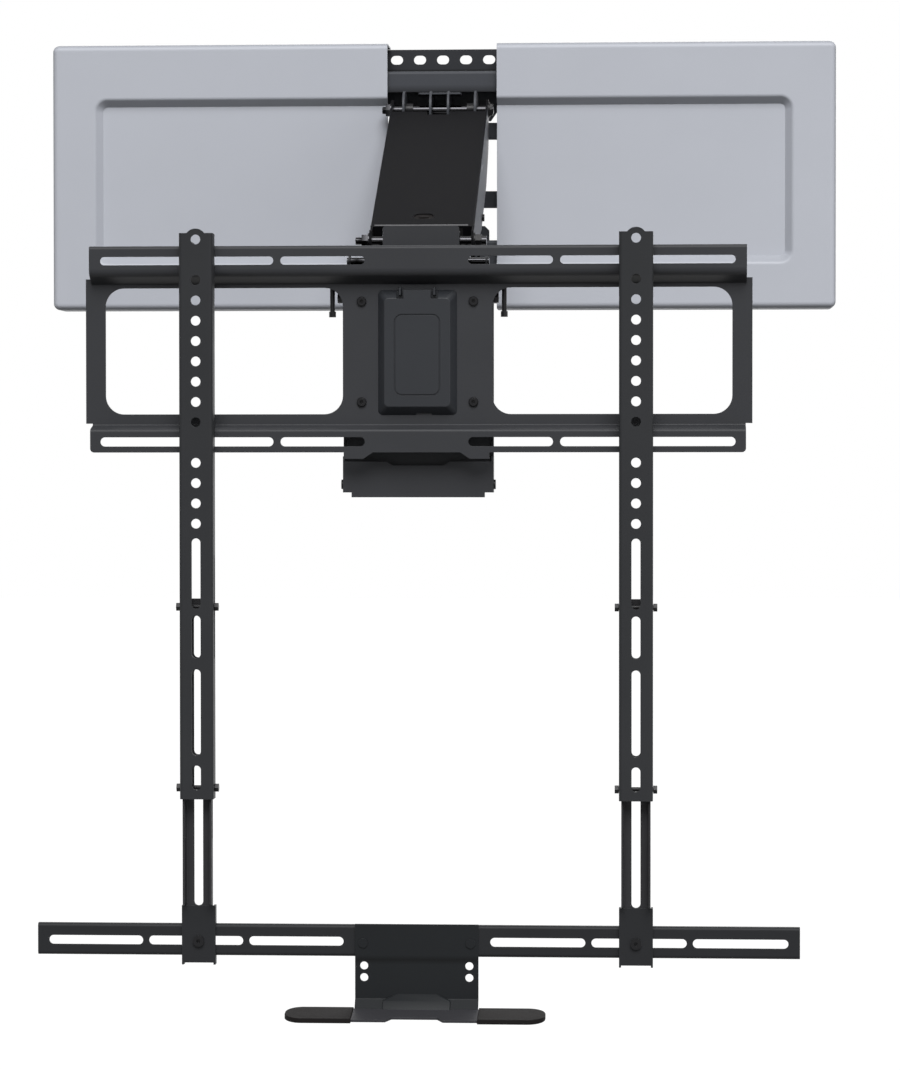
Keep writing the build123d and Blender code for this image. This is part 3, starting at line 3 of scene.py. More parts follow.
import bpy
from bpy.props import FloatProperty, FloatVectorProperty, PointerProperty
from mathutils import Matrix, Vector


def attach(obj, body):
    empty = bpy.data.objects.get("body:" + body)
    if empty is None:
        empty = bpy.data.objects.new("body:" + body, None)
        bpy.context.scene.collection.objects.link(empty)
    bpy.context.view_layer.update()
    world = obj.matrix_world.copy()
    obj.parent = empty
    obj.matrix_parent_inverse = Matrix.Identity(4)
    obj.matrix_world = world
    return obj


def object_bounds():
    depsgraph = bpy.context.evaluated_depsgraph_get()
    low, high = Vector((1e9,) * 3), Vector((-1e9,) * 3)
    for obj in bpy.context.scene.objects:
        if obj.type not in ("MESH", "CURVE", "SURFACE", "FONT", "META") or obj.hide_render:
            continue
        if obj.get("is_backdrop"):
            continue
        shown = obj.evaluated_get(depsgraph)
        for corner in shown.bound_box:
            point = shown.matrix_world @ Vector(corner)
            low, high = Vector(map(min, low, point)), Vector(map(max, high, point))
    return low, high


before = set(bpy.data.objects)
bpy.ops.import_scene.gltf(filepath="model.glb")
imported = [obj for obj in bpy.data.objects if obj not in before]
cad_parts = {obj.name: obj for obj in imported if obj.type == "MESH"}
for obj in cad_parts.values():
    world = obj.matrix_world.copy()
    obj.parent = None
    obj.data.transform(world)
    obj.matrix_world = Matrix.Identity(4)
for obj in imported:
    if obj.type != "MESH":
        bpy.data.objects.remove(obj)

bl_info = {
    "name": "Pull-down Screen Mount Finish",
    "version": (1, 0, 0),
    "blender": (4, 5, 0),
    "location": "View3D > Sidebar > Mount",
    "description": "Finishes, fittings and stage of a pull-down screen mount",
    "category": "Object",
}

MM = 0.001

# The arm at rest: the middle of its shoulder pin, and its slope down from level.
SHOULDER_PIN = Vector((0, -0.068, -0.075))
ARM_SLOPE = math.radians(27.5)
# The bead's middle on the arm: across it, along it from the shoulder pin, and out from its line.
BEAD_ACROSS, BEAD_ALONG, BEAD_ABOVE = -1.6 * MM, 409.4 * MM, 11.9 * MM

# The gusset's block before it is cut, from the bracket's face forwards and from the blade up.
GUSSET_BACK, GUSSET_FRONT = -0.5563, -0.5745
GUSSET_FOOT, GUSSET_TOP = -1.2288, -1.2076
# Where each slope of the gusset passes, and the way that it faces.
GUSSET_SLOPES = (
    ((0, -0.5568, -1.2076), (0, -0.83, 0.558)),
    ((0, -0.5640, -1.2183), (0, -0.737, 0.676)),
    ((0.028, 0, -1.2118), (0.4, 0, 0.917)),
    ((-0.028, 0, -1.2118), (-0.4, 0, 0.917)),
)

# Patterns of the finishes, in waves per metre.
CLOUD_SCALE = 9.0
RUB_SCALE = 60.0
# Share of the cloud's value that is added to the roughness.
GLOSS_SWING = 0.08
# Depth of the grain at full strength.
GRAIN_DEPTH = 0.25 * MM
# Match of the rounded and the true normal where an edge starts, and where it is fully found.
EDGE_START, EDGE_FULL = 0.995, 0.86
# Roughness of the clear coat on an arm's sides.
SIDE_COAT_ROUGHNESS = 0.35

FLOOR_SIZE = 60.0
FLOOR_GREY = 0.15
FLOOR_GLOW = 0.88
SENSOR_WIDTH_MM = 36.0
VIEW_REACH = 200.0


def written(red, green, blue):
    """Linear colour of a colour that is written in 0 to 255 screen values."""
    return tuple(
        ((value / 255 + 0.055) / 1.055) ** 2.4 if value > 10 else value / 255 / 12.92
        for value in (red, green, blue)
    )


def colour_of(name, description, red, green, blue):
    """Colour property with a default in screen values."""
    return FloatVectorProperty(
        name=name, description=description, subtype="COLOR",
        size=3, min=0, max=1, default=written(red, green, blue),
    )


class MountColours(bpy.types.PropertyGroup):
    """Colours of the mount's finishes."""

    cover: colour_of("Cover", "Satin grey of the two covers", 174, 177, 185)
    wall_steel: colour_of("Wall frame", "Powder coat of the wall frame", 62, 64, 69)
    arm: colour_of("Arm", "Powder coat of the arm", 18, 18, 20)
    plate: colour_of("Plate", "Powder coat of the screen plate and its housing", 45, 46, 49)
    rail: colour_of("Rails", "Powder coat of the rails", 44, 45, 47)
    leg: colour_of("Legs", "Powder coat of the legs", 46, 46, 48)
    bar: colour_of("Bar", "Powder coat of the lower bar and its clamps", 35, 36, 38)
    handle: colour_of("Handle", "Powder coat of the handle's bracket", 26, 28, 30)
    blade: colour_of("Blade", "Powder coat of the handle's blade", 50, 50, 53)
    moulding: colour_of("Moulding", "Plastic of the centre cover and blocks", 35, 37, 41)
    grip: colour_of("Grip", "Soft skin on the handle and the arm's plug", 22, 20, 20)
    fastener: colour_of("Fasteners", "Blackened steel of bolts and nuts", 20, 20, 22)
    pin: colour_of("Pins", "Polished dark steel of the pins", 52, 52, 54)
    # Light grey of the panel's edge bead: a painted highlight of the edge's rounded bend.
    edge: colour_of("Edge", "Bare steel of a rubbed edge", 98, 98, 100)
    bright: colour_of("Bright steel", "Ground steel of the rods", 196, 198, 202)


class MountFittings(bpy.types.PropertyGroup):
    """Sizes of the small fittings that are modelled here."""

    bead_radius: FloatProperty(
        name="Bead radius", description="Radius of the bead on the panel's front edge",
        unit="LENGTH", default=1.2 * MM, min=0.5 * MM,
    )
    bead_length: FloatProperty(
        name="Bead length", description="Length of the bead on the panel's front edge",
        unit="LENGTH", default=119 * MM, min=10 * MM,
    )
    bead_round: FloatProperty(
        name="Bead ends", description="Rounding of the bead's ends", unit="LENGTH",
        default=0.8 * MM, min=0,
    )
    gusset_width: FloatProperty(
        name="Gusset width", description="Width of the pressed gusset in the handle's fold",
        unit="LENGTH", default=84 * MM, min=20 * MM,
    )
    gusset_round: FloatProperty(
        name="Gusset rounding", description="Rounding of the gusset's edges", unit="LENGTH",
        default=3.5 * MM, min=0,
    )


class MountStage(bpy.types.PropertyGroup):
    """Place of the viewer and strength of the lights."""

    eye: FloatVectorProperty(
        name="Eye", description="Place of the camera", subtype="TRANSLATION", unit="LENGTH",
        size=3, default=(0.3151, -5.2363, -0.5406),
    )
    yaw: FloatProperty(
        name="Yaw", description="Turn of the camera to the left", subtype="ANGLE",
        default=math.radians(3.344),
    )
    pitch: FloatProperty(
        name="Pitch", description="Fall of the camera's view", subtype="ANGLE",
        default=math.radians(1.24),
    )
    roll: FloatProperty(
        name="Roll", description="Roll of the camera", subtype="ANGLE",
        default=math.radians(0.036),
    )
    lens: FloatProperty(
        name="Lens", description="Focal length in millimetres", default=127.85, min=20, max=400,
    )
    key: FloatProperty(
        name="Key light", description="Strength of the wide soft light above the viewer",
        default=3.75, min=0,
    )
    key_height: FloatProperty(
        name="Key height", description="Height of the key light over the viewer's line",
        subtype="ANGLE", default=math.radians(47),
    )
    key_turn: FloatProperty(
        name="Key turn", description="Turn of the key light around the mount", subtype="ANGLE",
        default=math.radians(6),
    )
    back: FloatProperty(
        name="Back light", description="Strength of the wide soft light from the wall's side",
        default=0.8, min=0,
    )
    back_height: FloatProperty(
        name="Back height", description="Height of the back light", subtype="ANGLE",
        default=math.radians(25),
    )
    back_turn: FloatProperty(
        name="Back turn", description="Turn of the back light around the mount", subtype="ANGLE",
        default=math.radians(160),
    )
    wide_spread: FloatProperty(
        name="Wide lights' spread", description="Angle over which a wide light comes in",
        subtype="ANGLE", default=math.radians(40),
    )
    fill: FloatProperty(
        name="Fill light", description="Power of the soft light to the viewer's right",
        unit="POWER", default=30.0, min=0,
    )
    fill_place: FloatVectorProperty(
        name="Fill place", description="Place of the fill light", subtype="TRANSLATION",
        unit="LENGTH", size=3, default=(3.6, -3.4, -0.2),
    )
    fill_size: FloatProperty(
        name="Fill size", description="Side of the fill light's square", unit="LENGTH",
        default=3.2, min=0.1,
    )
    world: FloatProperty(
        name="World", description="Strength of the even light from all sides", default=0.16, min=0,
    )
    floor_z: FloatProperty(
        name="Floor", description="Height of the floor under the mount", unit="LENGTH",
        default=-1.9,
    )


def add_node(tree, kind, place, sockets=None, **settings):
    """One shader node at a place in the tree, with its settings and its sockets' values."""
    node = tree.nodes.new(kind)
    node.location = place
    for name, value in settings.items():
        setattr(node, name, value)
    for name, value in (sockets or {}).items():
        node.inputs[name].default_value = value
    return node


def new_group(name, inputs, outputs):
    """Node group with named sockets, and its input and output nodes."""
    tree = bpy.data.node_groups.new(name, "ShaderNodeTree")
    for in_out, sockets in (("INPUT", inputs), ("OUTPUT", outputs)):
        for socket, kind in sockets:
            tree.interface.new_socket(socket, in_out=in_out, socket_type="NodeSocket" + kind)
    start = add_node(tree, "NodeGroupInput", (-900, 0))
    end = add_node(tree, "NodeGroupOutput", (900, 0))
    return tree, start, end


def coat_group():
    """Node group of a coat: its mottled colour, its roughness and the height of its grain."""
    name = "Coat surface"
    if name in bpy.data.node_groups:
        return bpy.data.node_groups[name]
    tree, start, end = new_group(
        name,
        (("Vector", "Vector"), ("Color", "Color"), ("Mottle", "Float"), ("Grain size", "Float"),
         ("Roughness", "Float")),
        (("Color", "Color"), ("Roughness", "Float"), ("Height", "Float")),
    )
    cloud = add_node(tree, "ShaderNodeTexNoise", (-600, 300),
                     {"Scale": CLOUD_SCALE, "Detail": 3.0})
    spread = add_node(tree, "ShaderNodeMapRange", (-380, 300),
                      {"From Min": 0.3, "From Max": 0.7, "To Min": -1.0, "To Max": 1.0})
    swing = add_node(tree, "ShaderNodeMath", (-180, 300), operation="MULTIPLY")
    level = add_node(tree, "ShaderNodeMath", (0, 300), {1: 1.0}, operation="ADD")
    tint = add_node(tree, "ShaderNodeVectorMath", (200, 200), operation="SCALE")
    grain = add_node(tree, "ShaderNodeTexNoise", (-600, -100), {"Detail": 2.0, "Roughness": 0.55})
    gloss = add_node(tree, "ShaderNodeMath", (-180, 0), {1: GLOSS_SWING},
                     operation="MULTIPLY_ADD")
    link = tree.links.new
    link(start.outputs["Vector"], cloud.inputs["Vector"])
    link(start.outputs["Vector"], grain.inputs["Vector"])
    link(start.outputs["Grain size"], grain.inputs["Scale"])
    link(cloud.outputs["Fac"], spread.inputs["Value"])
    link(spread.outputs["Result"], swing.inputs[0])
    link(start.outputs["Mottle"], swing.inputs[1])
    link(swing.outputs["Value"], level.inputs[0])
    link(start.outputs["Color"], tint.inputs[0])
    link(level.outputs["Value"], tint.inputs["Scale"])
    link(tint.outputs["Vector"], end.inputs["Color"])
    link(cloud.outputs["Fac"], gloss.inputs[0])
    link(start.outputs["Roughness"], gloss.inputs[2])
    link(gloss.outputs["Value"], end.inputs["Roughness"])
    link(grain.outputs["Fac"], end.inputs["Height"])
    return tree


def edge_group():
    """Node group that finds rubbed edges from a rounded normal."""
    name = "Rubbed edges"
    if name in bpy.data.node_groups:
        return bpy.data.node_groups[name]
    tree, start, end = new_group(
        name,
        (("Vector", "Vector"), ("Rounded", "Vector"), ("Normal", "Vector"), ("Amount", "Float")),
        (("Mask", "Float"),),
    )
    match = add_node(tree, "ShaderNodeVectorMath", (-600, 100), operation="DOT_PRODUCT")
    sharp = add_node(tree, "ShaderNodeMapRange", (-380, 100),
                     {"From Min": EDGE_START, "From Max": EDGE_FULL})
    patches = add_node(tree, "ShaderNodeTexNoise", (-600, -150),
                       {"Scale": RUB_SCALE, "Detail": 4.0})
    broken = add_node(tree, "ShaderNodeMapRange", (-380, -150),
                      {"From Min": 0.42, "From Max": 0.68})
    worn = add_node(tree, "ShaderNodeMath", (-160, 0), operation="MULTIPLY")
    mask = add_node(tree, "ShaderNodeMath", (100, 0), operation="MULTIPLY")
    link = tree.links.new
    link(start.outputs["Rounded"], match.inputs[0])
    link(start.outputs["Normal"], match.inputs[1])
    link(match.outputs["Value"], sharp.inputs["Value"])
    link(start.outputs["Vector"], patches.inputs["Vector"])
    link(patches.outputs["Fac"], broken.inputs["Value"])
    link(sharp.outputs["Result"], worn.inputs[0])
    link(broken.outputs["Result"], worn.inputs[1])
    link(worn.outputs["Value"], mask.inputs[0])
    link(start.outputs["Amount"], mask.inputs[1])
    link(mask.outputs["Value"], end.inputs["Mask"])
    return tree


def side_group():
    """Node group that finds surfaces which face to the left or right."""
    name = "Side faces"
    if name in bpy.data.node_groups:
        return bpy.data.node_groups[name]
    tree, start, end = new_group(
        name, (("Normal", "Vector"), ("Amount", "Float")), (("Mask", "Float"),)
    )
    split = add_node(tree, "ShaderNodeSeparateXYZ", (-700, 0))
    size = add_node(tree, "ShaderNodeMath", (-500, 0), operation="ABSOLUTE")
    step = add_node(tree, "ShaderNodeMapRange", (-300, 0), {"From Min": 0.7, "From Max": 0.95})
    mask = add_node(tree, "ShaderNodeMath", (100, 0), operation="MULTIPLY")
    link = tree.links.new
    link(start.outputs["Normal"], split.inputs["Vector"])
    link(split.outputs["X"], size.inputs[0])
    link(size.outputs["Value"], step.inputs["Value"])
    link(step.outputs["Result"], mask.inputs[0])
    link(start.outputs["Amount"], mask.inputs[1])
    link(mask.outputs["Value"], end.inputs["Mask"])
    return tree


def shade_group():
    """Node group that paints shade into a colour where the coat faces down, up or to a side."""
    name = "Facing shade"
    if name in bpy.data.node_groups:
        return bpy.data.node_groups[name]
    tree, start, end = new_group(
        name,
        (("Color", "Color"), ("Normal", "Vector"), ("Under", "Float"), ("Top", "Float"),
         ("Side", "Float")),
        (("Color", "Color"),),
    )
    split = add_node(tree, "ShaderNodeSeparateXYZ", (-700, 0))
    size = add_node(tree, "ShaderNodeMath", (-500, -250), operation="ABSOLUTE")
    tint = add_node(tree, "ShaderNodeVectorMath", (700, 0), operation="SCALE")
    link = tree.links.new
    link(start.outputs["Normal"], split.inputs["Vector"])
    link(split.outputs["X"], size.inputs[0])
    # Each facing: the normal's part that it reads, and where its painted shade starts and is full.
    facings = (
        ("Under", split.outputs["Z"], -0.35, -0.85),
        ("Top", split.outputs["Z"], 0.35, 0.85),
        ("Side", size.outputs["Value"], 0.7, 0.97),
    )
    kept = None
    for row, (facing, part, shade_start, shade_full) in enumerate(facings):
        height = 250 - 250 * row
        step = add_node(tree, "ShaderNodeMapRange", (-300, height),
                        {"From Min": shade_start, "From Max": shade_full})
        loss = add_node(tree, "ShaderNodeMath", (-100, height), operation="MULTIPLY")
        rest = add_node(tree, "ShaderNodeMath", (100, height), {0: 1.0}, operation="SUBTRACT")
        link(part, step.inputs["Value"])
        link(step.outputs["Result"], loss.inputs[0])
        link(start.outputs[facing], loss.inputs[1])
        link(loss.outputs["Value"], rest.inputs[1])
        if kept is None:
            kept = rest.outputs["Value"]
        else:
            both = add_node(tree, "ShaderNodeMath", (300 + 150 * row, 150), operation="MULTIPLY")
            link(kept, both.inputs[0])
            link(rest.outputs["Value"], both.inputs[1])
            kept = both.outputs["Value"]
    link(start.outputs["Color"], tint.inputs[0])
    link(kept, tint.inputs["Scale"])
    link(tint.outputs["Vector"], end.inputs["Color"])
    return tree


def band_group():
    """Node group that darkens a colour in a soft band around one height, depth or width.

    It paints shade in a fold or step, or darkens a part of a piece.
    """
    name = "Soft band"
    if name in bpy.data.node_groups:
        return bpy.data.node_groups[name]
    tree, start, end = new_group(
        name,
        (("Color", "Color"), ("Place", "Float"), ("Middle", "Float"), ("Half width", "Float"),
         ("Darkest", "Float")),
        (("Color", "Color"),),
    )
    apart = add_node(tree, "ShaderNodeMath", (-700, 0), operation="SUBTRACT")
    size = add_node(tree, "ShaderNodeMath", (-500, 0), operation="ABSOLUTE")
    step = add_node(tree, "ShaderNodeMapRange", (-300, 0))
    tint = add_node(tree, "ShaderNodeVectorMath", (200, 0), operation="SCALE")
    link = tree.links.new
    link(start.outputs["Place"], apart.inputs[0])
    link(start.outputs["Middle"], apart.inputs[1])
    link(apart.outputs["Value"], size.inputs[0])
    link(size.outputs["Value"], step.inputs["Value"])
    link(start.outputs["Half width"], step.inputs["From Max"])
    link(start.outputs["Darkest"], step.inputs["To Min"])
    link(start.outputs["Color"], tint.inputs[0])
    link(step.outputs["Result"], tint.inputs["Scale"])
    link(tint.outputs["Vector"], end.inputs["Color"])
    return tree


def coated(name, colour, rough=0.42, mottle=0.05, grain=700.0, peel=0.12, wear=0.25, metal=0.0,
           rub=(0.2, 0.2, 0.2), round_mm=0.7, specular=0.5, side_gloss=0.0,
           shade=(0.3, 0.0, 0.0), bands=()):
    """Material of a coated, moulded or bare surface with soft edges, grain and a little wear.

    grain is in waves per metre, shade is the painted shade that darkens what faces down, up and
    sideways, and each band is its axis, its middle and half width in metres, and how much of the
    colour it keeps at its middle; a band paints shade in a fold or step, or darkens a part.
    """
    if name in bpy.data.materials:
        return bpy.data.materials[name]
    material = bpy.data.materials.new(name)
    material.use_nodes = True
    tree = material.node_tree
    link = tree.links.new
    shader = tree.nodes["Principled BSDF"]
    shader.location = (900, 0)
    tree.nodes["Material Output"].location = (1200, 0)
    shader.inputs["Metallic"].default_value = metal
    shader.inputs["Specular IOR Level"].default_value = specular

    places = add_node(tree, "ShaderNodeTexCoord", (-900, 0))
    true_normal = add_node(tree, "ShaderNodeNewGeometry", (-900, -300))
    rounded = add_node(tree, "ShaderNodeBevel", (-700, -300), {"Radius": round_mm * MM},
                       samples=4)
    coat = add_node(
        tree, "ShaderNodeGroup", (-500, 200), node_tree=coat_group(),
        sockets={"Color": (*colour, 1), "Mottle": mottle, "Grain size": grain,
                 "Roughness": rough},
    )
    # Painted shade: the colour is darkened where the coat faces down, up or sideways.
    facing_shade = add_node(
        tree, "ShaderNodeGroup", (-250, 400), node_tree=shade_group(),
        sockets=dict(zip(("Under", "Top", "Side"), shade)),
    )
    edges = add_node(tree, "ShaderNodeGroup", (-450, -250), {"Amount": wear},
                     node_tree=edge_group())
    link(places.outputs["Object"], coat.inputs["Vector"])
    link(places.outputs["Object"], edges.inputs["Vector"])
    link(rounded.outputs["Normal"], edges.inputs["Rounded"])
    link(true_normal.outputs["Normal"], edges.inputs["Normal"])
    link(coat.outputs["Color"], facing_shade.inputs["Color"])
    link(places.outputs["Normal"], facing_shade.inputs["Normal"])

    tone = facing_shade.outputs["Color"]
    # Soft bands: painted shade in a fold or step, or a darker part such as a black head.
    if bands:
        split = add_node(tree, "ShaderNodeSeparateXYZ", (-700, 600))
        link(places.outputs["Object"], split.inputs["Vector"])
    for step, (axis, middle, half, darkest) in enumerate(bands):
        band = add_node(
            tree, "ShaderNodeGroup", (-50 + 200 * step, 600), node_tree=band_group(),
            sockets={"Middle": middle, "Half width": half, "Darkest": darkest},
        )
        link(split.outputs[axis], band.inputs["Place"])
        link(tone, band.inputs["Color"])
        tone = band.outputs["Color"]

    paint = add_node(tree, "ShaderNodeMix", (200, 200), data_type="RGBA")
    paint.inputs["B"].default_value = (*rub, 1)
    bump = add_node(tree, "ShaderNodeBump", (300, -200),
                    {"Strength": peel, "Distance": GRAIN_DEPTH})
    link(edges.outputs["Mask"], paint.inputs["Factor"])
    link(tone, paint.inputs["A"])
    link(coat.outputs["Height"], bump.inputs["Height"])
    link(rounded.outputs["Normal"], bump.inputs["Normal"])
    link(paint.outputs["Result"], shader.inputs["Base Color"])
    link(coat.outputs["Roughness"], shader.inputs["Roughness"])
    link(bump.outputs["Normal"], shader.inputs["Normal"])
    if side_gloss:
        sides = add_node(tree, "ShaderNodeGroup", (400, -450), {"Amount": side_gloss},
                         node_tree=side_group())
        link(places.outputs["Normal"], sides.inputs["Normal"])
        link(sides.outputs["Mask"], shader.inputs["Coat Weight"])
        shader.inputs["Coat Roughness"].default_value = SIDE_COAT_ROUGHNESS
    return material


def colours():
    """Colours that the finishes start from."""
    return bpy.context.scene.mount_colours


def cover_paint():
    """Satin paint of the two covers, with shade painted on its rims where they face down, up or
    sideways.
    """
    return coated("Cover paint", colours().cover, rough=0.46, mottle=0.012, grain=1400.0,
                  peel=0.05, wear=0.0, specular=0.3, shade=(0.45, 0.3, 0.35))


def wall_coat():
    """Powder coat of the frame on the wall."""
    return coated("Wall frame coat", colours().wall_steel, specular=0.2)


def wall_rail_coat():
    """Powder coat of the upper wall rail, with painted shade near the wall and in its two folds."""
    return coated(
        "Wall rail coat", colours().wall_steel, specular=0.15,
        # Painted shade: near the wall, in the face's lower fold, and a shadow line at the flange.
        bands=(("Y", 0.0, 0.03, 0.42), ("Z", -0.0485, 0.01, 0.3), ("Z", -0.0148, 0.0026, 0.25)),
    )


def arm_coat():
    """Powder coat of the arm, with a sheen on its sides."""
    return coated("Arm coat", colours().arm, rough=0.4, mottle=0.06, specular=0.02,
                  side_gloss=0.75)


def plate_coat():
    """Powder coat of the screen plate, its housing and the yoke.

    It has painted shade where it faces down.
    """
    return coated("Plate coat", colours().plate, rough=0.44, specular=0.2, shade=(0.65, 0.0, 0.0))


def rail_coat():
    """Powder coat of the two rails."""
    return coated("Rail coat", colours().rail, specular=0.12)


def leg_coat():
    """Powder coat of the two legs."""
    return coated("Leg coat", colours().leg, specular=0.12)


def bar_coat():
    """Powder coat of the lower bar and its clamps."""
    return coated("Bar coat", colours().bar, mottle=0.08, specular=0.12)


def handle_coat():
    """Powder coat of the handle's bracket, with a painted shadow at the step below the bar."""
    return coated("Handle coat", colours().handle, specular=0.12,
                  bands=(("Z", -1.1680, 0.006, 0.35),))


def blade_coat():
    """Powder coat of the handle's blade."""
    return coated("Blade coat", colours().blade, specular=0.12)


def pin_steel():
    """Polished steel of the pins, black at the arm pins' left heads.

    It has painted shade where it faces down.
    """
    return coated("Pin steel", colours().pin, rough=0.1, mottle=0.04, grain=1200.0, peel=0.03,
                  wear=0.0, metal=1.0, round_mm=0.4, shade=(0.6, 0.0, 0.0),
                  bands=(("X", -0.076, 0.011, 0.1),))


def edge_highlight_paint():
    """Light grey of the panel's edge bead: a painted highlight of the edge's rounded bend."""
    return coated("Painted edge highlight", colours().edge, rough=0.45, mottle=0.1, wear=0.0, round_mm=0.3,
                  specular=0.2)


def moulded():
    """Fine-grained plastic of the centre cover and the covers' blocks."""
    return coated("Moulding", colours().moulding, mottle=0.03, grain=1600.0, peel=0.2, wear=0.0,
                  specular=0.25)


def grip_skin():
    """Soft matt skin of the grips."""
    return coated("Grip skin", colours().grip, rough=0.62, grain=2200.0, peel=0.35, wear=0.0,
                  specular=0.08)


def black_steel():
    """Blackened steel of bolts, nuts and screws."""
    return coated("Black steel", colours().fastener, rough=0.3, mottle=0.1, grain=900.0, peel=0.1,
                  metal=0.15, rub=(0.25, 0.25, 0.26), round_mm=0.4, specular=0.2)


def bright_steel():
    """Ground steel of the gas springs' tubes and rods."""
    return coated("Bright steel", colours().bright, rough=0.22, mottle=0.04, grain=1200.0,
                  peel=0.04, wear=0.0, metal=1.0, round_mm=0.3)


def finish_nodes(material, *names):
    """Gives a material to carried-over nodes."""
    for name in names:
        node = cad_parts[name]
        node.data.materials.clear()
        node.data.materials.append(material)


def deselect():
    """Leaves nothing selected, so that the next operator acts on its own piece alone."""
    bpy.ops.object.select_all(action="DESELECT")


def round_edges(piece, width, segments, smooth_angle):
    """Rounds a piece's edges and shades it smooth up to an angle."""
    bpy.ops.object.modifier_add(type="BEVEL")
    bevel = piece.modifiers[-1]
    bevel.width = width
    bevel.segments = segments
    bpy.ops.object.modifier_apply(modifier=bevel.name)
    bpy.ops.object.shade_smooth_by_angle(angle=smooth_angle)


def settle(piece, body):
    """Applies a finished piece's place and joins it to its body."""
    deselect()
    piece.select_set(True)
    bpy.context.view_layer.objects.active = piece
    bpy.ops.object.transform_apply(location=True, rotation=True, scale=True)
    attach(piece, body)


def arm_place(across, along, above):
    """Place on the arm at rest: across it, along it from its shoulder pin and out from its line."""
    level, fall = math.cos(ARM_SLOPE), math.sin(ARM_SLOPE)
    return SHOULDER_PIN + Vector((
        across, -level * along - fall * above, -fall * along + level * above,
    ))


def panel_edge(sizes):
    """Thin rolled bead along the panel's front edge, light as a painted highlight of its bend."""
    deselect()
    bpy.ops.mesh.primitive_cylinder_add(
        vertices=24, radius=sizes.bead_radius, depth=sizes.bead_length
    )
    bead = bpy.context.object
    bead.name = "panel_edge_highlight_bead"
    bead.rotation_euler = (0, math.pi / 2, 0)
    bpy.ops.object.transform_apply(location=False, rotation=True, scale=False)
    round_edges(bead, sizes.bead_round, segments=3, smooth_angle=math.radians(40))
    bead.location = arm_place(BEAD_ACROSS, BEAD_ALONG, BEAD_ABOVE)
    bead.data.materials.append(edge_highlight_paint())
    settle(bead, "arm")


def handle_gusset(sizes):
    """Pressed gusset that stiffens the middle of the handle's fold."""
    deselect()
    half = sizes.gusset_width / 2
    low = Vector((-half, GUSSET_FRONT, GUSSET_FOOT))
    high = Vector((half, GUSSET_BACK, GUSSET_TOP))
    bpy.ops.mesh.primitive_cube_add(size=1, location=(low + high) / 2)
    gusset = bpy.context.object
    gusset.name = "handle_gusset"
    gusset.scale = high - low
    bpy.ops.object.transform_apply(location=True, rotation=False, scale=True)
    bpy.ops.object.mode_set(mode="EDIT")
    for place, outward in GUSSET_SLOPES:
        bpy.ops.mesh.select_all(action="SELECT")
        bpy.ops.mesh.bisect(plane_co=place, plane_no=outward, use_fill=True, clear_outer=True)
    bpy.ops.mesh.select_all(action="SELECT")
    bpy.ops.mesh.normals_make_consistent(inside=False)
    bpy.ops.object.mode_set(mode="OBJECT")
    round_edges(gusset, sizes.gusset_round, segments=6, smooth_angle=math.radians(50))
    gusset.data.materials.append(handle_coat())
    settle(gusset, "extension")


class MOUNT_OT_wall_frame(bpy.types.Operator):
    """Finishes the frame on the wall and its fasteners"""

    bl_idname = "mount.wall_frame"
    bl_label = "Wall Frame"

    def execute(self, context):
        finish_nodes(wall_rail_coat(), "top_rail")
        finish_nodes(wall_coat(), "bottom_rail", "left_upright", "right_upright", "cross_bars",
                     "hinge_bracket")
        finish_nodes(pin_steel(), "spring_base_pin", "link_wall_pins")
        finish_nodes(black_steel(), "frame_bolts", "pin_collars")
        return {"FINISHED"}


class MOUNT_OT_covers(bpy.types.Operator):
    """Finishes the two covers and the blocks that they slide on"""

    bl_idname = "mount.covers"
    bl_label = "Covers"

    def execute(self, context):
        finish_nodes(cover_paint(), "left_cover", "right_cover")
        finish_nodes(moulded(), "left_cover_clips", "right_cover_clips")
        return {"FINISHED"}


class MOUNT_OT_arm(bpy.types.Operator):
    """Finishes the arm, its links and pins, and adds the painted-highlight bead on its panel's edge
    """

    bl_idname = "mount.arm"
    bl_label = "Arm"

    def execute(self, context):
        finish_nodes(arm_coat(), "upper_arm", "left_link", "right_link", "link_tie")
        finish_nodes(plate_coat(), "head_yoke", "swivel_hub")
        finish_nodes(grip_skin(), "panel_plug")
        finish_nodes(pin_steel(), "upper_pin", "lower_pin", "spring_top_pin", "link_head_pins",
                     "swivel_pin")
        finish_nodes(black_steel(), "arm_pin_nuts", "arm_side_bolts")
        panel_edge(context.scene.mount_fittings)
        return {"FINISHED"}


class MOUNT_OT_springs(bpy.types.Operator):
    """Finishes the two gas springs"""

    bl_idname = "mount.springs"
    bl_label = "Gas Springs"

    def execute(self, context):
        finish_nodes(arm_coat(), "left_spring_cylinder", "right_spring_cylinder")
        finish_nodes(bright_steel(), "left_spring_tube", "right_spring_tube", "left_spring_rod",
                     "right_spring_rod")
        return {"FINISHED"}


class MOUNT_OT_screen_plate(bpy.types.Operator):
    """Finishes the screen plate, its housing and what tilts it"""

    bl_idname = "mount.screen_plate"
    bl_label = "Screen Plate"

    def execute(self, context):
        finish_nodes(plate_coat(), "tv_plate", "tilt_bracket", "head_housing")
        finish_nodes(moulded(), "centre_cover")
        finish_nodes(pin_steel(), "hanger_rod")
        finish_nodes(black_steel(), "plate_screws", "tilt_bolts", "housing_bolts",
                     "left_level_screw", "right_level_screw")
        return {"FINISHED"}


class MOUNT_OT_rails(bpy.types.Operator):
    """Finishes the rails, legs and lower bar"""

    bl_idname = "mount.rails"
    bl_label = "Rails and Bar"

    def execute(self, context):
        finish_nodes(rail_coat(), "left_rail", "right_rail", "rail_hooks", "rail_latches")
        finish_nodes(leg_coat(), "left_leg", "right_leg")
        finish_nodes(bar_coat(), "lower_bar", "bar_clamps")
        finish_nodes(black_steel(), "rail_bolts", "leg_bolts", "bar_bolts")
        return {"FINISHED"}


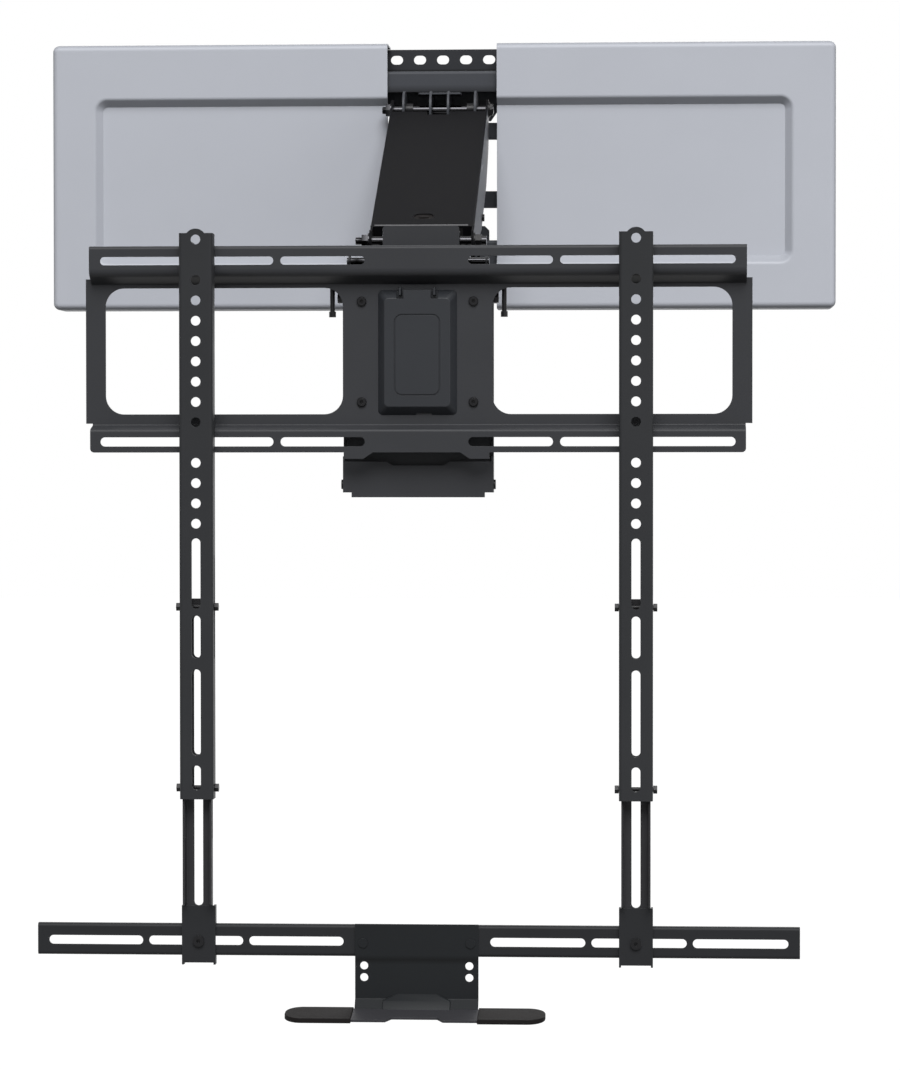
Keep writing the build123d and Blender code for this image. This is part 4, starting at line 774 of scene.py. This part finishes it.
class MOUNT_OT_handle(bpy.types.Operator):
    """Finishes the handle and adds the gusset in its fold"""

    bl_idname = "mount.handle"
    bl_label = "Handle"

    def execute(self, context):
        finish_nodes(handle_coat(), "handle_bracket", "handle_rivets")
        finish_nodes(blade_coat(), "handle_blade")
        finish_nodes(grip_skin(), "left_grip", "right_grip")
        handle_gusset(context.scene.mount_fittings)
        return {"FINISHED"}


class MOUNT_OT_stage(bpy.types.Operator):
    """Sets the floor, the lights and the camera"""

    bl_idname = "mount.stage"
    bl_label = "Stage"

    def execute(self, context):
        scene = context.scene
        stage = scene.mount_stage
        add_floor(stage.floor_z)
        low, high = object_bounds()
        wide_light("key_light", stage.key, stage.key_height, stage.key_turn, stage.wide_spread)
        wide_light("back_light", stage.back, stage.back_height, stage.back_turn,
                   stage.wide_spread)
        soft_light("fill_light", stage.fill, stage.fill_place, stage.fill_size, (low + high) / 2)
        world_light(scene, stage.world)
        add_camera(scene, stage)
        scene.view_settings.view_transform = "Standard"
        return {"FINISHED"}


def add_floor(height):
    """Large plain floor under the mount."""
    deselect()
    bpy.ops.mesh.primitive_grid_add(
        x_subdivisions=4, y_subdivisions=4, size=FLOOR_SIZE, location=(0, 0, height)
    )
    floor = bpy.context.object
    floor.name = "floor"
    floor.data.materials.append(floor_material())
    floor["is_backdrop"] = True


def wide_light(name, strength, height, turn, spread):
    """Very wide soft light, equally strong everywhere, from a height and a side of the mount."""
    deselect()
    bpy.ops.object.light_add(type="SUN", location=(0, -4, 4))
    light = bpy.context.object
    light.name = name
    light.data.energy = strength
    light.data.angle = spread
    light.rotation_mode = "XYZ"
    light.rotation_euler = (math.pi / 2 - height, 0, turn)


def soft_light(name, power, place, size, aim):
    """Square soft light that faces a point."""
    deselect()
    bpy.ops.object.light_add(type="AREA", location=place)
    light = bpy.context.object
    light.name = name
    light.data.shape = "SQUARE"
    light.data.size = size
    light.data.energy = power
    light.rotation_mode = "QUATERNION"
    light.rotation_quaternion = (Vector(place) - aim).to_track_quat("Z", "Y")


def add_camera(scene, stage):
    """Camera at the photograph's place and angle."""
    deselect()
    bpy.ops.object.camera_add(location=stage.eye)
    camera = bpy.context.object
    camera.name = "viewer"
    camera.rotation_mode = "XYZ"
    camera.rotation_euler = (math.pi / 2 - stage.pitch, stage.roll, stage.yaw)
    camera.data.sensor_width = SENSOR_WIDTH_MM
    camera.data.lens = stage.lens
    camera.data.clip_end = VIEW_REACH
    scene.camera = camera


def floor_material():
    """Pale floor, white to the camera and in reflections apart from the mount's shadow."""
    material = bpy.data.materials.new("Pale floor")
    material.use_nodes = True
    tree = material.node_tree
    tree.nodes.clear()
    out = add_node(tree, "ShaderNodeOutputMaterial", (600, 0))
    both = add_node(tree, "ShaderNodeAddShader", (400, 0))
    matt = add_node(tree, "ShaderNodeBsdfDiffuse", (150, 100),
                    {"Color": (FLOOR_GREY, FLOOR_GREY, FLOOR_GREY, 1)})
    glow = add_node(tree, "ShaderNodeEmission", (150, -100))
    seen = add_node(tree, "ShaderNodeLightPath", (-400, -100))
    either = add_node(tree, "ShaderNodeMath", (-150, -100), operation="MAXIMUM")
    strength = add_node(tree, "ShaderNodeMath", (0, -100), {1: FLOOR_GLOW}, operation="MULTIPLY")
    link = tree.links.new
    link(seen.outputs["Is Camera Ray"], either.inputs[0])
    link(seen.outputs["Is Glossy Ray"], either.inputs[1])
    link(either.outputs["Value"], strength.inputs[0])
    link(strength.outputs["Value"], glow.inputs["Strength"])
    link(matt.outputs["BSDF"], both.inputs[0])
    link(glow.outputs["Emission"], both.inputs[1])
    link(both.outputs["Shader"], out.inputs["Surface"])
    return material


def world_light(scene, level):
    """Even world, white to the camera, in reflections and through clear pieces."""
    world = bpy.data.worlds.new("Studio")
    scene.world = world
    world.use_nodes = True
    tree = world.node_tree
    tree.nodes.clear()
    out = add_node(tree, "ShaderNodeOutputWorld", (600, 0))
    mix = add_node(tree, "ShaderNodeMixShader", (400, 0))
    even = add_node(tree, "ShaderNodeBackground", (150, 100),
                    {"Color": (1, 1, 1, 1), "Strength": level})
    white = add_node(tree, "ShaderNodeBackground", (150, -100), {"Color": (1, 1, 1, 1)})
    seen = add_node(tree, "ShaderNodeLightPath", (-500, 200))
    either = add_node(tree, "ShaderNodeMath", (-250, 200), operation="MAXIMUM")
    any_clear = add_node(tree, "ShaderNodeMath", (-50, 200), operation="MAXIMUM")
    link = tree.links.new
    link(seen.outputs["Is Camera Ray"], either.inputs[0])
    link(seen.outputs["Is Glossy Ray"], either.inputs[1])
    link(either.outputs["Value"], any_clear.inputs[0])
    link(seen.outputs["Is Transmission Ray"], any_clear.inputs[1])
    link(any_clear.outputs["Value"], mix.inputs["Fac"])
    link(even.outputs["Background"], mix.inputs[1])
    link(white.outputs["Background"], mix.inputs[2])
    link(mix.outputs["Shader"], out.inputs["Surface"])


STEPS = (
    MOUNT_OT_wall_frame, MOUNT_OT_covers, MOUNT_OT_arm, MOUNT_OT_springs, MOUNT_OT_screen_plate,
    MOUNT_OT_rails, MOUNT_OT_handle, MOUNT_OT_stage,
)


class MOUNT_PT_panel(bpy.types.Panel):
    """Panel that lists the steps"""

    bl_label = "Screen Mount"
    bl_idname = "MOUNT_PT_panel"
    bl_space_type = "VIEW_3D"
    bl_region_type = "UI"
    bl_category = "Mount"

    def draw(self, context):
        for step in STEPS:
            self.layout.operator(step.bl_idname)


CLASSES = (MountColours, MountFittings, MountStage, *STEPS, MOUNT_PT_panel)


def register():
    for item in CLASSES:
        bpy.utils.register_class(item)
    bpy.types.Scene.mount_colours = PointerProperty(type=MountColours)
    bpy.types.Scene.mount_fittings = PointerProperty(type=MountFittings)
    bpy.types.Scene.mount_stage = PointerProperty(type=MountStage)


def unregister():
    del bpy.types.Scene.mount_stage
    del bpy.types.Scene.mount_fittings
    del bpy.types.Scene.mount_colours
    for item in reversed(CLASSES):
        bpy.utils.unregister_class(item)


def main():
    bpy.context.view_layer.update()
    register()
    bpy.ops.mount.wall_frame()
    bpy.ops.mount.covers()
    bpy.ops.mount.arm()
    bpy.ops.mount.springs()
    bpy.ops.mount.screen_plate()
    bpy.ops.mount.rails()
    bpy.ops.mount.handle()
    bpy.ops.mount.stage()


if __name__ == "__main__":
    main()
